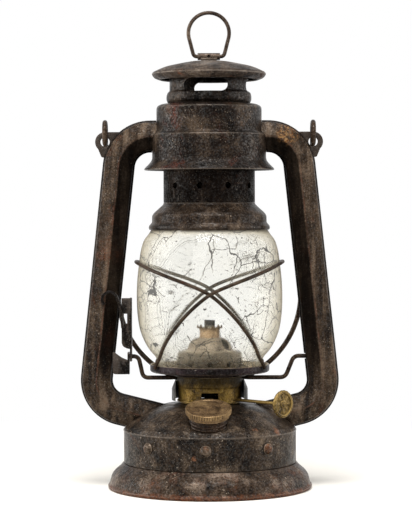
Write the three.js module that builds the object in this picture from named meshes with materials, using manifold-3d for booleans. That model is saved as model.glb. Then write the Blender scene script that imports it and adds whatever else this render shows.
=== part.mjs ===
// Tubular hurricane lantern, in millimetres, +Z up and the front at -Y.
// The origin is the middle of the base, on the surface that the lantern stands on.
import * as THREE from 'three';
import { mergeVertices } from 'three/addons/utils/BufferGeometryUtils.js';
import Module from 'manifold-3d';

const wasm = await Module();
wasm.setup();

// Clearances, walls and counts that every piece shares
const gap = 0.33;
const overrun = 4;
const sheet = 1;
const thinSheet = 0.8;
const wideSides = 24;
const middleSides = 24;
const smallSides = 16;
const holeSides = 8;
const wireSides = 6;
const wireBendSteps = 4;
const degree = Math.PI / 180;
const quarterTurn = Math.PI / 2;

// Finishes
const finish = (color, roughness, metalness) => new THREE.MeshStandardMaterial(
  { color, roughness, metalness });
const steel = finish(0x2f2622, 0.62, 0.55);
const wornSteel = finish(0x4a3d36, 0.55, 0.6);
const rustySteel = finish(0x5a3a26, 0.8, 0.3);
const brass = finish(0x8a6f3a, 0.5, 0.8);
const brightBrass = finish(0xa98f4c, 0.42, 0.85);
const bronze = finish(0x6b4a34, 0.5, 0.7);
const cotton = finish(0xb8ab93, 0.95, 0);
const gasketCork = finish(0x6f5236, 0.9, 0);
const glass = new THREE.MeshStandardMaterial({
  color: 0xe6e8dc, roughness: 0.08, metalness: 0, transparent: true, opacity: 0.35,
});

// Shapes: every one below gives a closed three.js geometry
function withoutSlivers(index) {
  const kept = [];
  for (let i = 0; i < index.length; i += 3) {
    const [a, b, c] = [index[i], index[i + 1], index[i + 2]];
    if (a !== b && b !== c && c !== a) kept.push(a, b, c);
  }
  return kept;
}

function signedVolume(place, index) {
  const corner = (i) => new THREE.Vector3().fromArray(place, 3 * index[i]);
  let six = 0;
  for (let i = 0; i < index.length; i += 3) {
    six += corner(i).dot(corner(i + 1).cross(corner(i + 2)));
  }
  return six;
}

// The same surface with shared corners merged and its faces pointing out
function closed(geometry) {
  const bare = geometry.clone();
  bare.deleteAttribute('normal');
  bare.deleteAttribute('uv');
  const merged = mergeVertices(bare);
  const place = merged.attributes.position.array;
  const index = withoutSlivers(merged.index.array);
  if (signedVolume(place, index) < 0) index.reverse();
  const result = new THREE.BufferGeometry();
  result.setAttribute('position', new THREE.Float32BufferAttribute(place, 3));
  result.setIndex(index);
  result.computeVertexNormals();
  return result;
}

function toManifold(geometry) {
  const whole = closed(geometry);
  return new wasm.Manifold(new wasm.Mesh({
    numProp: 3,
    vertProperties: Float32Array.from(whole.attributes.position.array),
    triVerts: Uint32Array.from(whole.index.array),
  }));
}

function fromManifold(body) {
  const mesh = body.getMesh();
  const result = new THREE.BufferGeometry();
  result.setAttribute('position', new THREE.Float32BufferAttribute(mesh.vertProperties, 3));
  result.setIndex(Array.from(mesh.triVerts));
  result.computeVertexNormals();
  return result;
}

const cut = (base, ...tools) => fromManifold(
  tools.reduce((body, tool) => body.subtract(toManifold(tool)), toManifold(base)));
const join = (base, ...others) => fromManifold(
  others.reduce((body, other) => body.add(toManifold(other)), toManifold(base)));

// A line of [radius, height] pairs moved sideways: a positive distance goes to the left of travel
function movedLine(line, distance) {
  const normals = line.slice(1).map(([r, z], i) => {
    const [dr, dz] = [r - line[i][0], z - line[i][1]];
    const length = Math.hypot(dr, dz);
    return [-dz / length, dr / length];
  });
  return line.map(([r, z], i) => {
    const before = normals[Math.max(i - 1, 0)];
    const after = normals[Math.min(i, normals.length - 1)];
    const spread = 1 + before[0] * after[0] + before[1] * after[1];
    const mitre = distance / spread;
    return [r + mitre * (before[0] + after[0]), z + mitre * (before[1] + after[1])];
  });
}

// The height of a line at one radius
function heightAt(line, radius) {
  const end = line.findIndex(([r], i) => i > 0 && (r - radius) * (line[i - 1][0] - radius) <= 0);
  const [[r0, z0], [r1, z1]] = [line[end - 1], line[end]];
  return z0 + ((z1 - z0) * (radius - r0)) / (r1 - r0);
}

// Pairs of shares laid between two radii and two heights
const spread = (shares, [r0, r1], [z0, z1]) => shares.map(
  ([a, b]) => [r0 + (r1 - r0) * a, z0 + (z1 - z0) * b]);

// A turned piece, whose profile is a closed ring of [radius, height] pairs
function turned(profile, sides = wideSides) {
  const points = [...profile, profile[0]].map(([r, z]) => new THREE.Vector2(r, z));
  return closed(new THREE.LatheGeometry(points, sides).rotateX(quarterTurn));
}

// A turned shell, with its wall to the left of the line, which runs up the outside
const turnedShell = (line, wall, sides) => turned([...line, ...movedLine(line, wall).reverse()], sides);

// A turned block, filled from the line to the axis
const turnedBlock = (line, sides) => turned([[0, line[0][1]], ...line, [0, line.at(-1)[1]]], sides);

// A ring of rectangular section
const ring = (inner, outer, low, high, sides) => turned(
  [[inner, low], [outer, low], [outer, high], [inner, high]], sides);

// A round bar along Z, from one height to another
const bar = (radius, low, high, sides = holeSides) => turned(
  [[0, low], [radius, low], [radius, high], [0, high]], sides);

const box = (width, depth, height, x = 0, y = 0, z = 0) => closed(
  new THREE.BoxGeometry(width, depth, height).translate(x, y, z));

// A flat outline of [x, z] pairs that stands in the XZ plane, with its front face at the given Y
function standingPlate(outline, frontY, thickness, holes = []) {
  const shape = new THREE.Shape(outline.map(([x, z]) => new THREE.Vector2(x, z)));
  shape.holes = holes.map((hole) => new THREE.Path(hole.map(([x, z]) => new THREE.Vector2(x, z))));
  const raised = new THREE.ExtrudeGeometry(shape, { depth: thickness, bevelEnabled: false, steps: 1 });
  return closed(raised.rotateX(quarterTurn).translate(0, frontY + thickness, 0));
}

// Points of an arc in the plane of two unit vectors, angles in degrees
function arcPoints(centre, across, along, radius, from, to, count) {
  return Array.from({ length: count + 1 }, (_, i) => {
    const angle = (from + ((to - from) * i) / count) * degree;
    return new THREE.Vector3(...centre)
      .addScaledVector(across, radius * Math.cos(angle))
      .addScaledVector(along, radius * Math.sin(angle));
  });
}

const alongX = new THREE.Vector3(1, 0, 0);
const alongY = new THREE.Vector3(0, 1, 0);
const alongZ = new THREE.Vector3(0, 0, 1);

// Straight runs between corners, where each inner corner is rounded to its bend radius
function roundedRun(corners, bend, count) {
  const points = corners.map((corner) => new THREE.Vector3(...corner));
  const bends = Array.isArray(bend) ? bend : corners.slice(2).map(() => bend);
  const run = [points[0]];
  for (let i = 1; i < points.length - 1; i += 1) {
    const back = points[i - 1].clone().sub(points[i]).normalize();
    const ahead = points[i + 1].clone().sub(points[i]).normalize();
    const half = back.angleTo(ahead) / 2;
    const radius = bends[i - 1];
    const middle = back.clone().add(ahead).normalize().multiplyScalar(radius / Math.sin(half)).add(points[i]);
    const start = back.multiplyScalar(radius / Math.tan(half)).add(points[i]).sub(middle);
    const end = ahead.multiplyScalar(radius / Math.tan(half)).add(points[i]).sub(middle);
    const turn = start.angleTo(end);
    for (let k = 0; k <= count; k += 1) {
      const first = Math.sin((1 - k / count) * turn) / Math.sin(turn);
      const second = Math.sin((k / count) * turn) / Math.sin(turn);
      run.push(middle.clone().addScaledVector(start, first).addScaledVector(end, second));
    }
  }
  return [...run, points.at(-1)];
}

// A route whose steps fall on its own points
class PointRoute extends THREE.Curve {
  constructor(points) {
    super();
    this.points = points;
  }

  getPoint(t, target = new THREE.Vector3()) {
    const along = t * (this.points.length - 1);
    const i = Math.min(Math.floor(along), this.points.length - 2);
    return target.lerpVectors(this.points[i], this.points[i + 1], along - i);
  }

  getTangent(t, target = new THREE.Vector3()) {
    const last = this.points.length - 1;
    const i = Math.round(t * last);
    const [a, b] = [this.points[Math.max(i - 1, 0)], this.points[Math.min(i + 1, last)]];
    return target.subVectors(b, a).normalize();
  }

  getUtoTmapping(u) {
    return u;
  }
}

// A flat section of [x, y] pairs carried along a route
function swept(section, points) {
  const shape = new THREE.Shape(section.map(([x, y]) => new THREE.Vector2(x, y)));
  const route = new PointRoute(points);
  return closed(new THREE.ExtrudeGeometry(shape, {
    steps: points.length - 1, bevelEnabled: false, extrudePath: route,
  }));
}

const roundSection = (radius, sides = wireSides) => Array.from({ length: sides }, (_, i) => [
  radius * Math.cos((i * 2 * Math.PI) / sides), radius * Math.sin((i * 2 * Math.PI) / sides)]);

const wire = (points, radius, sides) => swept(roundSection(radius, sides), points);

function mirroredX(geometry) {
  const copy = geometry.clone();
  copy.scale(-1, 1, 1);
  return closed(copy);
}

// The object, and the group of each piece that stands askew
const lantern = new THREE.Group();

function add(name, geometry, material, group = lantern) {
  const mesh = new THREE.Mesh(geometry, material);
  mesh.name = name;
  group.add(mesh);
  return mesh;
}

// Base skirt: a rolled foot, a flared wall and a ledge that carries the fount
const baseRadius = 62.8;
const skirtHeight = 15.7;
const footWidth = 2.9;
const ledgeWidth = 6;
const bandRadius = 53;
const flareShares = [
  [0.93, 0], [1, 0.08], [0.99, 0.17], [0.87, 0.27], [0.765, 0.53], [0.58, 0.69], [0.22, 0.87], [0.05, 1],
];
const skirtLine = [
  [baseRadius - footWidth, 0],
  ...spread(flareShares, [bandRadius, baseRadius], [0, skirtHeight]),
  [bandRadius - ledgeWidth, skirtHeight],
];
add('base_skirt', turnedShell(skirtLine, sheet), rustySteel);

// Fount: a band and a dome in one shell, closed below by a disc, on the ledge of the skirt
const bandHeight = 20;
const domeHeight = 16;
const burnerHoleRadius = 17;
const bandFoot = skirtHeight + gap;
const domeFoot = bandFoot + bandHeight;
const domeTop = domeFoot + domeHeight;
const domeShares = [[1, 0], [0.965, 0.2], [0.89, 0.37], [0.79, 0.58], [0.68, 0.81], [0.54, 0.94], [0.36, 1]];
const fountLine = [
  [bandRadius, bandFoot],
  ...spread(domeShares, [0, bandRadius], [domeFoot, domeTop]),
  [burnerHoleRadius, domeTop],
];
const fountBlock = (grow) => turnedBlock(movedLine(fountLine, -grow), wideSides);
const discThickness = 1;
const discRadius = bandRadius - sheet - gap;

// Rivets at the front and back of the band, each in its own hole
const rivetHeight = 28.4;
const rivetTurns = [-44.3, -3, 40.5, 135.7, 177, 220.5];
const rivetHeadRadius = 3.5;
const rivetHeadHeight = 2.4;
const rivetShankRadius = 1.4;
const rivetTail = 1.2;
const rivetHeadShares = [[1, 0], [0.75, 0.7], [0, 1]];

// Anything made along +Z at the axis, laid so that +Z points out of the front at one angle
const laidOut = (geometry, angle, height) => geometry
  .rotateX(quarterTurn).rotateZ(angle * degree).translate(0, 0, height);
const rivetHoles = rivetTurns.map((angle) => laidOut(
  bar(rivetShankRadius + gap, bandRadius - overrun, bandRadius + overrun), angle, rivetHeight));

// Filler: its frame stands on the slope of the dome and leans to the front
const fillerTilt = 18;
const fillerX = -0.9;
const fillerY = -40.3;
const neckRadius = 11;
const threadRadius = 11.4;
const neckBore = 9.4;
const neckRise = 8.3;
const neckTail = 3;
const threadPitch = 2;
const threadFirst = 0.6;
const threadCount = 4;
const threadWidth = 0.7;
const capRadius = 13.8;
const capHeight = 5;
const capBand = 3;
const capSkirtRadius = 12.9;
const capTop = 1.3;
const capKnurls = 36;
const knurlDepth = 0.45;
const dishDepth = 0.5;
const dishMargin = 2.2;
const gasketThickness = 1.2;
const fillerSink = 3.8;
const fillerZ = heightAt(fountLine, Math.abs(fillerY)) - fillerSink;
const filler = new THREE.Group();
filler.position.set(fillerX, fillerY, fillerZ);
filler.rotation.x = fillerTilt * degree;
lantern.add(filler);
const fillerHole = bar(threadRadius + gap, -neckTail - overrun, neckRise + overrun, smallSides)
  .rotateX(fillerTilt * degree).translate(fillerX, fillerY, fillerZ);

add('fount_shell', cut(turnedShell(fountLine, sheet), ...rivetHoles, fillerHole), steel);
add('fount_bottom', bar(discRadius, bandFoot, bandFoot + discThickness, wideSides), steel);

for (const [i, angle] of rivetTurns.entries()) {
  const head = spread(rivetHeadShares, [0, rivetHeadRadius], [gap, gap + rivetHeadHeight]);
  const rivet = turned([[0, -sheet - rivetTail], [rivetShankRadius, -sheet - rivetTail],
    [rivetShankRadius, gap], ...head], holeSides);
  const mesh = add(`band_rivet_${i + 1}`, rivet, wornSteel);
  mesh.rotation.set(quarterTurn, 0, 0);
  mesh.rotation.order = 'ZXY';
  mesh.rotation.z = angle * degree;
  mesh.position.set(
    bandRadius * Math.sin(angle * degree), -bandRadius * Math.cos(angle * degree), rivetHeight);
}

const threads = Array.from({ length: threadCount }, (_, i) => {
  const low = threadFirst + i * threadPitch;
  return [[neckRadius, low], [threadRadius, low + threadWidth / 2], [neckRadius, low + threadWidth]];
}).flat();
add('filler_neck', turned([[neckBore, -neckTail], [neckRadius, -neckTail], ...threads,
  [neckRadius, neckRise], [neckBore, neckRise]], smallSides), bronze, filler);
const gasketFoot = neckRise + gap;
add('filler_gasket', ring(neckBore, neckRadius, gasketFoot, gasketFoot + gasketThickness, smallSides),
  gasketCork, filler);
const capInside = gasketFoot + gasketThickness + gap;
const capCrown = capInside + capTop;
const capFoot = capCrown - capHeight;
const knurled = Array.from({ length: capKnurls * 2 }, (_, i) => {
  const reach = capRadius - (i % 2) * knurlDepth;
  return [reach * Math.cos((i * Math.PI) / capKnurls), reach * Math.sin((i * Math.PI) / capKnurls)];
});
const capBody = new THREE.ExtrudeGeometry(
  new THREE.Shape(knurled.map(([x, y]) => new THREE.Vector2(x, y))),
  { depth: capBand, bevelEnabled: false, steps: 1 }).translate(0, 0, capCrown - capBand);
const capSkirt = bar(capSkirtRadius, capFoot, capInside, smallSides);
add('filler_cap', cut(join(capBody, capSkirt),
  bar(threadRadius + gap, capFoot - overrun, capInside, smallSides),
  bar(capRadius - dishMargin, capCrown - dishDepth, capCrown + overrun, smallSides)), bronze, filler);

// Burner: a collar on the fount, a drum with a deck, a basket, a dome and a toothed crown
const collarRingWidth = 2.1;
const collarFlange = 1.4;
const collarFlangeHeight = 1;
const collarDepth = 2.5;
const burnerRingOuter = burnerHoleRadius - gap;
const burnerRingInner = burnerRingOuter - collarRingWidth;
const flangeFoot = domeTop + gap;
const flangeTop = flangeFoot + collarFlangeHeight;
add('burner_collar', turned([
  [burnerRingInner, domeTop - collarDepth], [burnerRingOuter, domeTop - collarDepth],
  [burnerRingOuter, flangeFoot], [burnerHoleRadius + collarFlange, flangeFoot],
  [burnerHoleRadius + collarFlange, flangeTop], [burnerRingInner, flangeTop]]), brass);

const drumRadius = 20.1;
const drumHeight = 15.2;
const drumWaist = 0.6;
const burnerWall = 0.8;
const drumFoot = flangeTop + gap;
const deckTop = drumFoot + drumHeight;
const drumShares = [[1, 0], [1, 0.05], [0, 0.09], [0, 0.56], [1, 0.62], [1, 0.97], [0.6, 1]];
const wickWidth = 9;
const wickThickness = 1.8;
const wickTubeWall = 0.35;
const wickTubeWidth = wickWidth + 2 * (gap / 2 + wickTubeWall);
const wickTubeDepth = wickThickness + 2 * (gap / 2 + wickTubeWall);
const wickTurn = -45;

// Drum: the deck carries the wick tube, the front has an air window and the shaft has its notch
const shaftRadius = 1;
const shaftHeight = 54.8;
const sprocketRadius = 3.6;
const windowWidth = 10.4;
const windowHeight = 4.4;
const windowRise = 1.6;
const windowFoot = drumFoot + windowRise;
const shaftSide = wickThickness / 2 + gap + sprocketRadius;
const drumLine = [
  ...spread(drumShares, [drumRadius - drumWaist, drumRadius], [drumFoot, deckTop]),
  [0, deckTop],
];
const wickTubeHole = box(wickTubeWidth + 2 * gap, wickTubeDepth + 2 * gap, drumHeight, 0, 0, deckTop)
  .rotateZ(wickTurn * degree);
const shaftHole = bar(shaftRadius + gap, drumRadius / 2, drumRadius + overrun)
  .rotateY(quarterTurn).translate(0, shaftSide, shaftHeight).rotateZ(wickTurn * degree);
const shaftNotch = box(drumRadius, 2 * (shaftRadius + gap), overrun, drumRadius, shaftSide,
  shaftHeight - overrun / 2).rotateZ(wickTurn * degree);
const airWindow = box(windowWidth, drumRadius, windowHeight, 0, -drumRadius, windowFoot + windowHeight / 2);
add('burner_drum', cut(turnedShell(drumLine, burnerWall, middleSides),
  wickTubeHole, shaftHole, shaftNotch, airWindow), brass);

// Guard: a half shell behind the drum, open at the front
const guardRadius = 23.4;
const guardHeight = 12;
const guardTaper = 2;
const guardOpening = 42;
const guardShares = [[1, 0], [1, 0.6], [0, 1]];
const guardFoot = drumFoot + gap;
const guardBody = turnedShell(
  spread(guardShares, [guardRadius - guardTaper, guardRadius], [guardFoot, guardFoot + guardHeight]),
  burnerWall, middleSides);
const guardCut = box(guardOpening, guardRadius * 2, guardHeight + overrun, 0, -guardRadius,
  guardFoot + guardHeight / 2);
add('burner_guard', cut(guardBody, guardCut), wornSteel);

const basketRadius = 19.9;
const basketHeight = 14;
const basketFoot = deckTop + gap;
const basketTop = basketFoot + basketHeight;
const basketHoles = 10;
const basketHoleRadius = 1.7;
const basketHoleShare = 0.55;
const basketHoleHeight = basketFoot + basketHeight * basketHoleShare;
const domeHoleRadius = 13.4;
const basketShell = turnedShell(
  [[basketRadius, basketFoot], [basketRadius, basketTop], [domeHoleRadius, basketTop]],
  burnerWall, middleSides);
add('burner_basket', cut(basketShell, ...Array.from({ length: basketHoles }, (_, i) => laidOut(
  bar(basketHoleRadius, basketRadius / 2, basketRadius + overrun, wireSides),
  (i * 360) / basketHoles, basketHoleHeight))), brass);

const crownNeckRadius = 6.1;
const crownMouthRadius = 8;
const crownWall = 0.5;
const burnerDomeRadius = 17;
const burnerDomeHeight = 8.1;
const burnerDomeFoot = basketTop + gap + burnerWall;
const burnerDomeTop = burnerDomeFoot + burnerDomeHeight;
const burnerDomeShares = [[1, 0], [0.68, 0.06], [0.64, 0.28], [0.52, 0.6], [0.3, 0.86], [0, 1]];
const sideWindow = 7;
const sideWindowTurn = 55;
const burnerDomeLine = spread(burnerDomeShares,
  [crownNeckRadius + gap + burnerWall, burnerDomeRadius], [burnerDomeFoot, burnerDomeTop]);
const domeWindow = laidOut(bar(sideWindow / 2, crownNeckRadius + 2 * gap, burnerDomeRadius, smallSides / 2),
  sideWindowTurn, burnerDomeFoot + burnerDomeHeight / 2);
add('burner_dome', cut(turnedShell(burnerDomeLine, burnerWall, middleSides), domeWindow), bronze);

const crownTail = 6;
const neckStraight = 3.9;
const crownFlare = 3.2;
const crownTeeth = 12;
const toothNotch = 1.7;
const toothDepth = 1.6;
const crownFoot = burnerDomeTop - crownTail;
const crownFlareFoot = burnerDomeTop + neckStraight;
const crownTop = crownFlareFoot + crownFlare;
const crownLine = [[crownNeckRadius, crownFoot], [crownNeckRadius, crownFlareFoot],
  ...spread([[0.35, 0.45], [1, 1]], [crownNeckRadius, crownMouthRadius], [crownFlareFoot, crownTop])];
const notches = Array.from({ length: crownTeeth / 2 }, (_, i) => box(
  toothNotch, crownMouthRadius * 3, toothDepth * 2, 0, 0, crownTop).rotateZ((i * 2 * Math.PI) / crownTeeth));
add('burner_crown', cut(turnedShell(crownLine, crownWall, 2 * crownTeeth), ...notches), bronze);

// Wick works, in a frame that is turned so that +X runs out to the knob
const wickWorks = new THREE.Group();
wickWorks.rotation.z = wickTurn * degree;
lantern.add(wickWorks);
const wickTubeFoot = shaftHeight + sprocketRadius + 3 * gap;
const wickTubeTop = crownTop - toothDepth * 2;
const wickFoot = 34;
const wickProud = 6.8;
const wickTop = wickTubeTop + wickProud;
const tubeMiddle = (wickTubeFoot + wickTubeTop) / 2;
add('wick_tube', cut(
  box(wickTubeWidth, wickTubeDepth, wickTubeTop - wickTubeFoot, 0, 0, tubeMiddle),
  box(wickWidth + gap, wickThickness + gap, wickTubeTop - wickTubeFoot + overrun, 0, 0, tubeMiddle)),
brass, wickWorks);
const wickLength = wickTop - wickFoot;
add('wick', box(wickWidth, wickThickness, wickLength, 0, 0, wickFoot + wickLength / 2), cotton, wickWorks);

const knobRadius = 8.4;
const knobThickness = 2.2;
const knobRim = 2;
const knobDish = 1;
const knobBossRadius = 2.4;
const knobHubRadius = 2.6;
const knobHubLength = 3;
const knobReach = 56.9;
const shaftTail = 9;
const seatDepth = 2;
const shaftEnd = knobReach + knobThickness / 2 - seatDepth - gap;
const shaft = add('wick_shaft', bar(shaftRadius, -shaftTail, shaftEnd, holeSides), brightBrass, wickWorks);
const sprocketTeeth = 10;
const sprocketWidth = 1.6;
const sprocketSpacing = 5;
const sprocketToothDepth = 0.9;
const sprocketOutline = Array.from({ length: sprocketTeeth * 2 }, (_, i) => {
  const reach = sprocketRadius - (i % 2) * sprocketToothDepth;
  return new THREE.Vector2(
    reach * Math.cos((i * Math.PI) / sprocketTeeth), reach * Math.sin((i * Math.PI) / sprocketTeeth));
});
const sprocketBlank = new THREE.ExtrudeGeometry(new THREE.Shape(sprocketOutline), {
  depth: sprocketWidth, bevelEnabled: false, steps: 1 }).translate(0, 0, -sprocketWidth / 2);
const sprocket = cut(sprocketBlank, bar(shaftRadius + gap, -sprocketWidth, sprocketWidth));
const knobBack = -knobThickness / 2;
const knobFace = knobThickness / 2;
const knobProfile = [
  [shaftRadius + gap, knobBack - knobHubLength], [knobHubRadius, knobBack - knobHubLength],
  [knobHubRadius, knobBack], [knobRadius, knobBack], [knobRadius, knobFace],
  [knobRadius - knobRim, knobFace], [knobRadius - knobRim, knobFace - knobDish],
  [knobBossRadius, knobFace - knobDish], [0, knobFace],
  [0, knobFace - seatDepth], [shaftRadius + gap, knobFace - seatDepth],
];
const knob = add('wick_knob', turned(knobProfile, smallSides), brightBrass, wickWorks);
const sprockets = [-1, 1].map((side, i) => add(`wick_sprocket_${i + 1}`, sprocket.clone(), brass, wickWorks));
for (const mesh of [shaft, knob, ...sprockets]) {
  mesh.rotation.y = quarterTurn;
  mesh.position.set(0, shaftSide, shaftHeight);
}
knob.position.x = knobReach;
sprockets[0].position.x = -sprocketSpacing / 2;
sprockets[1].position.x = sprocketSpacing / 2;

// Globe plate: a dish that rests on the bow of the lift crank
const crankRise = 12.01;
const crankHeight = deckTop + crankRise;
const crankDrop = 13.2;
const crankWireRadius = 1.3;
const bearingGap = 2 * gap;
const plateRadius = 36.7;
const plateHeight = 6.8;
const plateHoleGap = 0.5;
const plateHole = drumRadius + plateHoleGap;
const plateShares = [[0, 0], [0.17, 0], [0.22, 0.15], [0.93, 0.3], [1, 0.42], [1, 1]];
const plateFoot = crankHeight - crankDrop + crankWireRadius + gap;
const plateLine = spread(plateShares, [plateHole, plateRadius], [plateFoot, plateFoot + plateHeight]);
add('globe_plate', turnedShell(plateLine, sheet), wornSteel);

// Globe: a barrel of clear glass that stands in the dish
const globeRadius = 44.9;
const globeHeight = 94.63;
const globeWall = 1.8;
const globeFootShare = 0.686;
const globeShares = [
  [globeFootShare, 0], [0.733, 0.086], [0.815, 0.1247], [0.898, 0.1886], [0.959, 0.2662], [0.991, 0.3687],
  [1, 0.4848], [0.989, 0.601], [0.944, 0.7747], [0.898, 0.8479], [0.822, 0.8888], [0.758, 0.9513], [0.744, 1],
];
const plateUpper = movedLine(plateLine, sheet);
const globeFoot = heightAt(plateUpper, globeRadius * globeFootShare) + 1.5 * gap;
const globeTop = globeFoot + globeHeight;
const globeLine = spread(globeShares, [0, globeRadius], [globeFoot, globeTop]);
add('globe', turnedShell(globeLine, globeWall, middleSides), glass);

// Guard wires: each crosses the front, bends round one side and crosses the back
const guardWireRadius = 1.1;
const guardStandOff = 1.2;
const guardCrossing = 2 * guardWireRadius + gap;
const crossingPower = 4;
const guardFootTurn = 60;
const guardFootDrop = 2;
const guardTrackShares = [
  [-90, 0.7063], [-75, 0.7005], [-52, 0.6634], [-31.4, 0.6166], [-15, 0.5707], [0, 0.5151],
  [14.8, 0.4019], [27, 0.2887], [40.4, 0.1774], [52, 0.0945],
];
const guardFootRadius = plateRadius + gap + guardWireRadius;
const plateRim = plateFoot + plateHeight;
function globeReach(height) {
  const end = globeLine.findIndex(([, z]) => z >= height);
  const [[r0, z0], [r1, z1]] = [globeLine[end - 1], globeLine[end]];
  return r0 + ((r1 - r0) * (height - z0)) / (z1 - z0) + guardStandOff + guardWireRadius;
}
function guardWire(outward) {
  const onGlobe = guardTrackShares.map(([turn, share]) => {
    const height = globeFoot + globeHeight * share;
    const reach = Math.max(globeReach(height), guardFootRadius);
    return [turn, reach + outward * Math.cos(turn * degree) ** crossingPower, height];
  });
  const track = [...onGlobe, [guardFootTurn, guardFootRadius, plateRim],
    [guardFootTurn, guardFootRadius, plateRim - guardFootDrop]];
  const front = track.map(([turn, reach, height]) => new THREE.Vector3(
    reach * Math.sin(turn * degree), -reach * Math.cos(turn * degree), height));
  const back = front.slice(1).map((point) => new THREE.Vector3(point.x, -point.y, point.z));
  return wire([...front.reverse(), ...back], guardWireRadius);
}
add('globe_guard_left', guardWire(0), steel);
add('globe_guard_right', mirroredX(guardWire(guardCrossing)), steel);

// Bell, over the mouth of the globe
const bellRadius = 37.3;
const chimneyRadius = 28.1;
const bellHeight = 16.3;
const bellRest = 1.35;
const bellShares = [
  [0.94, 0], [1, 0.07], [0.98, 0.15], [0.78, 0.28], [0.77, 0.52],
  [0.65, 0.63], [0.36, 0.77], [0.03, 0.94], [0, 1],
];
const globeMouth = globeLine.at(-1)[0];
const bellLineAt = (foot) => spread(
  bellShares, [chimneyRadius, bellRadius], [foot, foot + bellHeight]);
const bellSeat = heightAt(movedLine(bellLineAt(0), thinSheet).slice(4), globeMouth);
const bellFoot = globeTop + bellRest - bellSeat;
const bellTop = bellFoot + bellHeight;
add('bell', turnedShell(bellLineAt(bellFoot), thinSheet, middleSides), steel);

// Chimney tube with its ring of holes, and the sleeve that slides in the collar
const tubeHeight = 22.7;
const tubeRound = 1;
const sleeveRadius = 24.2;
const sleeveHeight = 37.7;
const chimneyHoles = 10;
const chimneyHoleRadius = 1.95;
const chimneyHoleRise = 10.6;
const chimneyHoleFirst = -12;
const chimneyFoot = bellTop + gap;
const chimneyStep = chimneyFoot + tubeHeight;
const chimneyLine = [
  [chimneyRadius, chimneyFoot], [chimneyRadius, chimneyStep - tubeRound],
  [chimneyRadius - tubeRound, chimneyStep], [sleeveRadius - thinSheet, chimneyStep],
];
add('chimney_tube', cut(turnedShell(chimneyLine, thinSheet, middleSides),
  ...Array.from({ length: chimneyHoles }, (_, i) => laidOut(
    bar(chimneyHoleRadius, chimneyRadius / 2, chimneyRadius + overrun),
    chimneyHoleFirst + (i * 360) / chimneyHoles, chimneyFoot + chimneyHoleRise))), steel);
const sleeveFoot = chimneyStep + gap;
const sleeveTop = sleeveFoot + sleeveHeight;
add('chimney_sleeve', ring(
  sleeveRadius - thinSheet, sleeveRadius, sleeveFoot, sleeveTop, middleSides), steel);

// Gallery: the slotted wall that carries the hood
const galleryBead = 26.1;
const galleryHeight = 21.7;
const slotFoot = 6.5;
const slotHeight = 7.8;
const galleryShares = [[0.5, 0], [1, 0.08], [1, 0.2], [0.65, 0.29], [0, 0.34], [0, 1]];
const slotPlaces = [[-5.8, 67], [91, 44], [170, 64], [247, 44]];
const galleryFoot = sleeveTop + gap;
const galleryTop = galleryFoot + galleryHeight;
const galleryShell = turnedShell(
  spread(galleryShares, [sleeveRadius, galleryBead], [galleryFoot, galleryTop]), thinSheet, middleSides);
function galleryCut([turn, span]) {
  const half = sleeveRadius * Math.sin((span / 2) * degree) - slotHeight / 2;
  const shape = new THREE.Shape();
  shape.absarc(half, 0, slotHeight / 2, -quarterTurn, quarterTurn, false);
  shape.absarc(-half, 0, slotHeight / 2, quarterTurn, 3 * quarterTurn, false);
  const tool = new THREE.ExtrudeGeometry(shape, {
    depth: sleeveRadius, bevelEnabled: false, steps: 1, curveSegments: wireBendSteps });
  return tool.translate(0, 0, sleeveRadius / 2).rotateX(quarterTurn).rotateZ(turn * degree)
    .translate(0, 0, galleryFoot + slotFoot + slotHeight / 2);
}
add('gallery', cut(galleryShell, ...slotPlaces.map(galleryCut)), steel);

// Hood: a shallow cone with its brim rolled under
const hoodRadius = 35.2;
const hoodHeight = 12;
const hoodShares = [
  [0.86, 0], [0.96, 0.11], [1, 0.31], [0.975, 0.41], [0.777, 0.68], [0.34, 0.95], [0.1, 1], [0, 1],
];
const hoodLineAt = (foot) => spread(hoodShares, [0, hoodRadius], [foot, foot + hoodHeight]);
const hoodSeat = heightAt(movedLine(hoodLineAt(0), sheet).slice(4), sleeveRadius);
const hoodFoot = galleryTop + gap - hoodSeat;
const hoodTop = hoodFoot + hoodHeight;
add('hood', turnedShell(hoodLineAt(hoodFoot), sheet, middleSides), steel);

// Ring bracket and the lift ring that folds in it
const ringWireRadius = 1.15;
const ringBearing = 0.45;
const bracketWall = 0.55;
const bracketLength = 13.8;
const bracketFootLength = 10;
const bracketFootWidth = 5;
const bracketFootHeight = 1.2;
const bracketHole = 1;
const bracketRadius = ringWireRadius + ringBearing + bracketWall;
const ringPivot = hoodTop + gap + bracketRadius;
const bracketTube = bar(bracketRadius, -bracketLength / 2, bracketLength / 2, smallSides / 2)
  .rotateY(quarterTurn).translate(0, 0, ringPivot);
const bracketBore = bar(ringWireRadius + ringBearing, -bracketLength, bracketLength, smallSides / 2)
  .rotateY(quarterTurn).translate(0, 0, ringPivot);
const bracketFoot = box(bracketFootLength, bracketFootWidth, bracketFootHeight, 0, 0,
  hoodTop + gap + bracketFootHeight / 2);
const bracketEye = bar(bracketHole, 0, bracketLength).rotateX(quarterTurn).translate(0, 0, ringPivot);
add('ring_bracket', cut(join(bracketTube, bracketFoot), bracketBore, bracketEye), wornSteel);

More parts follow.
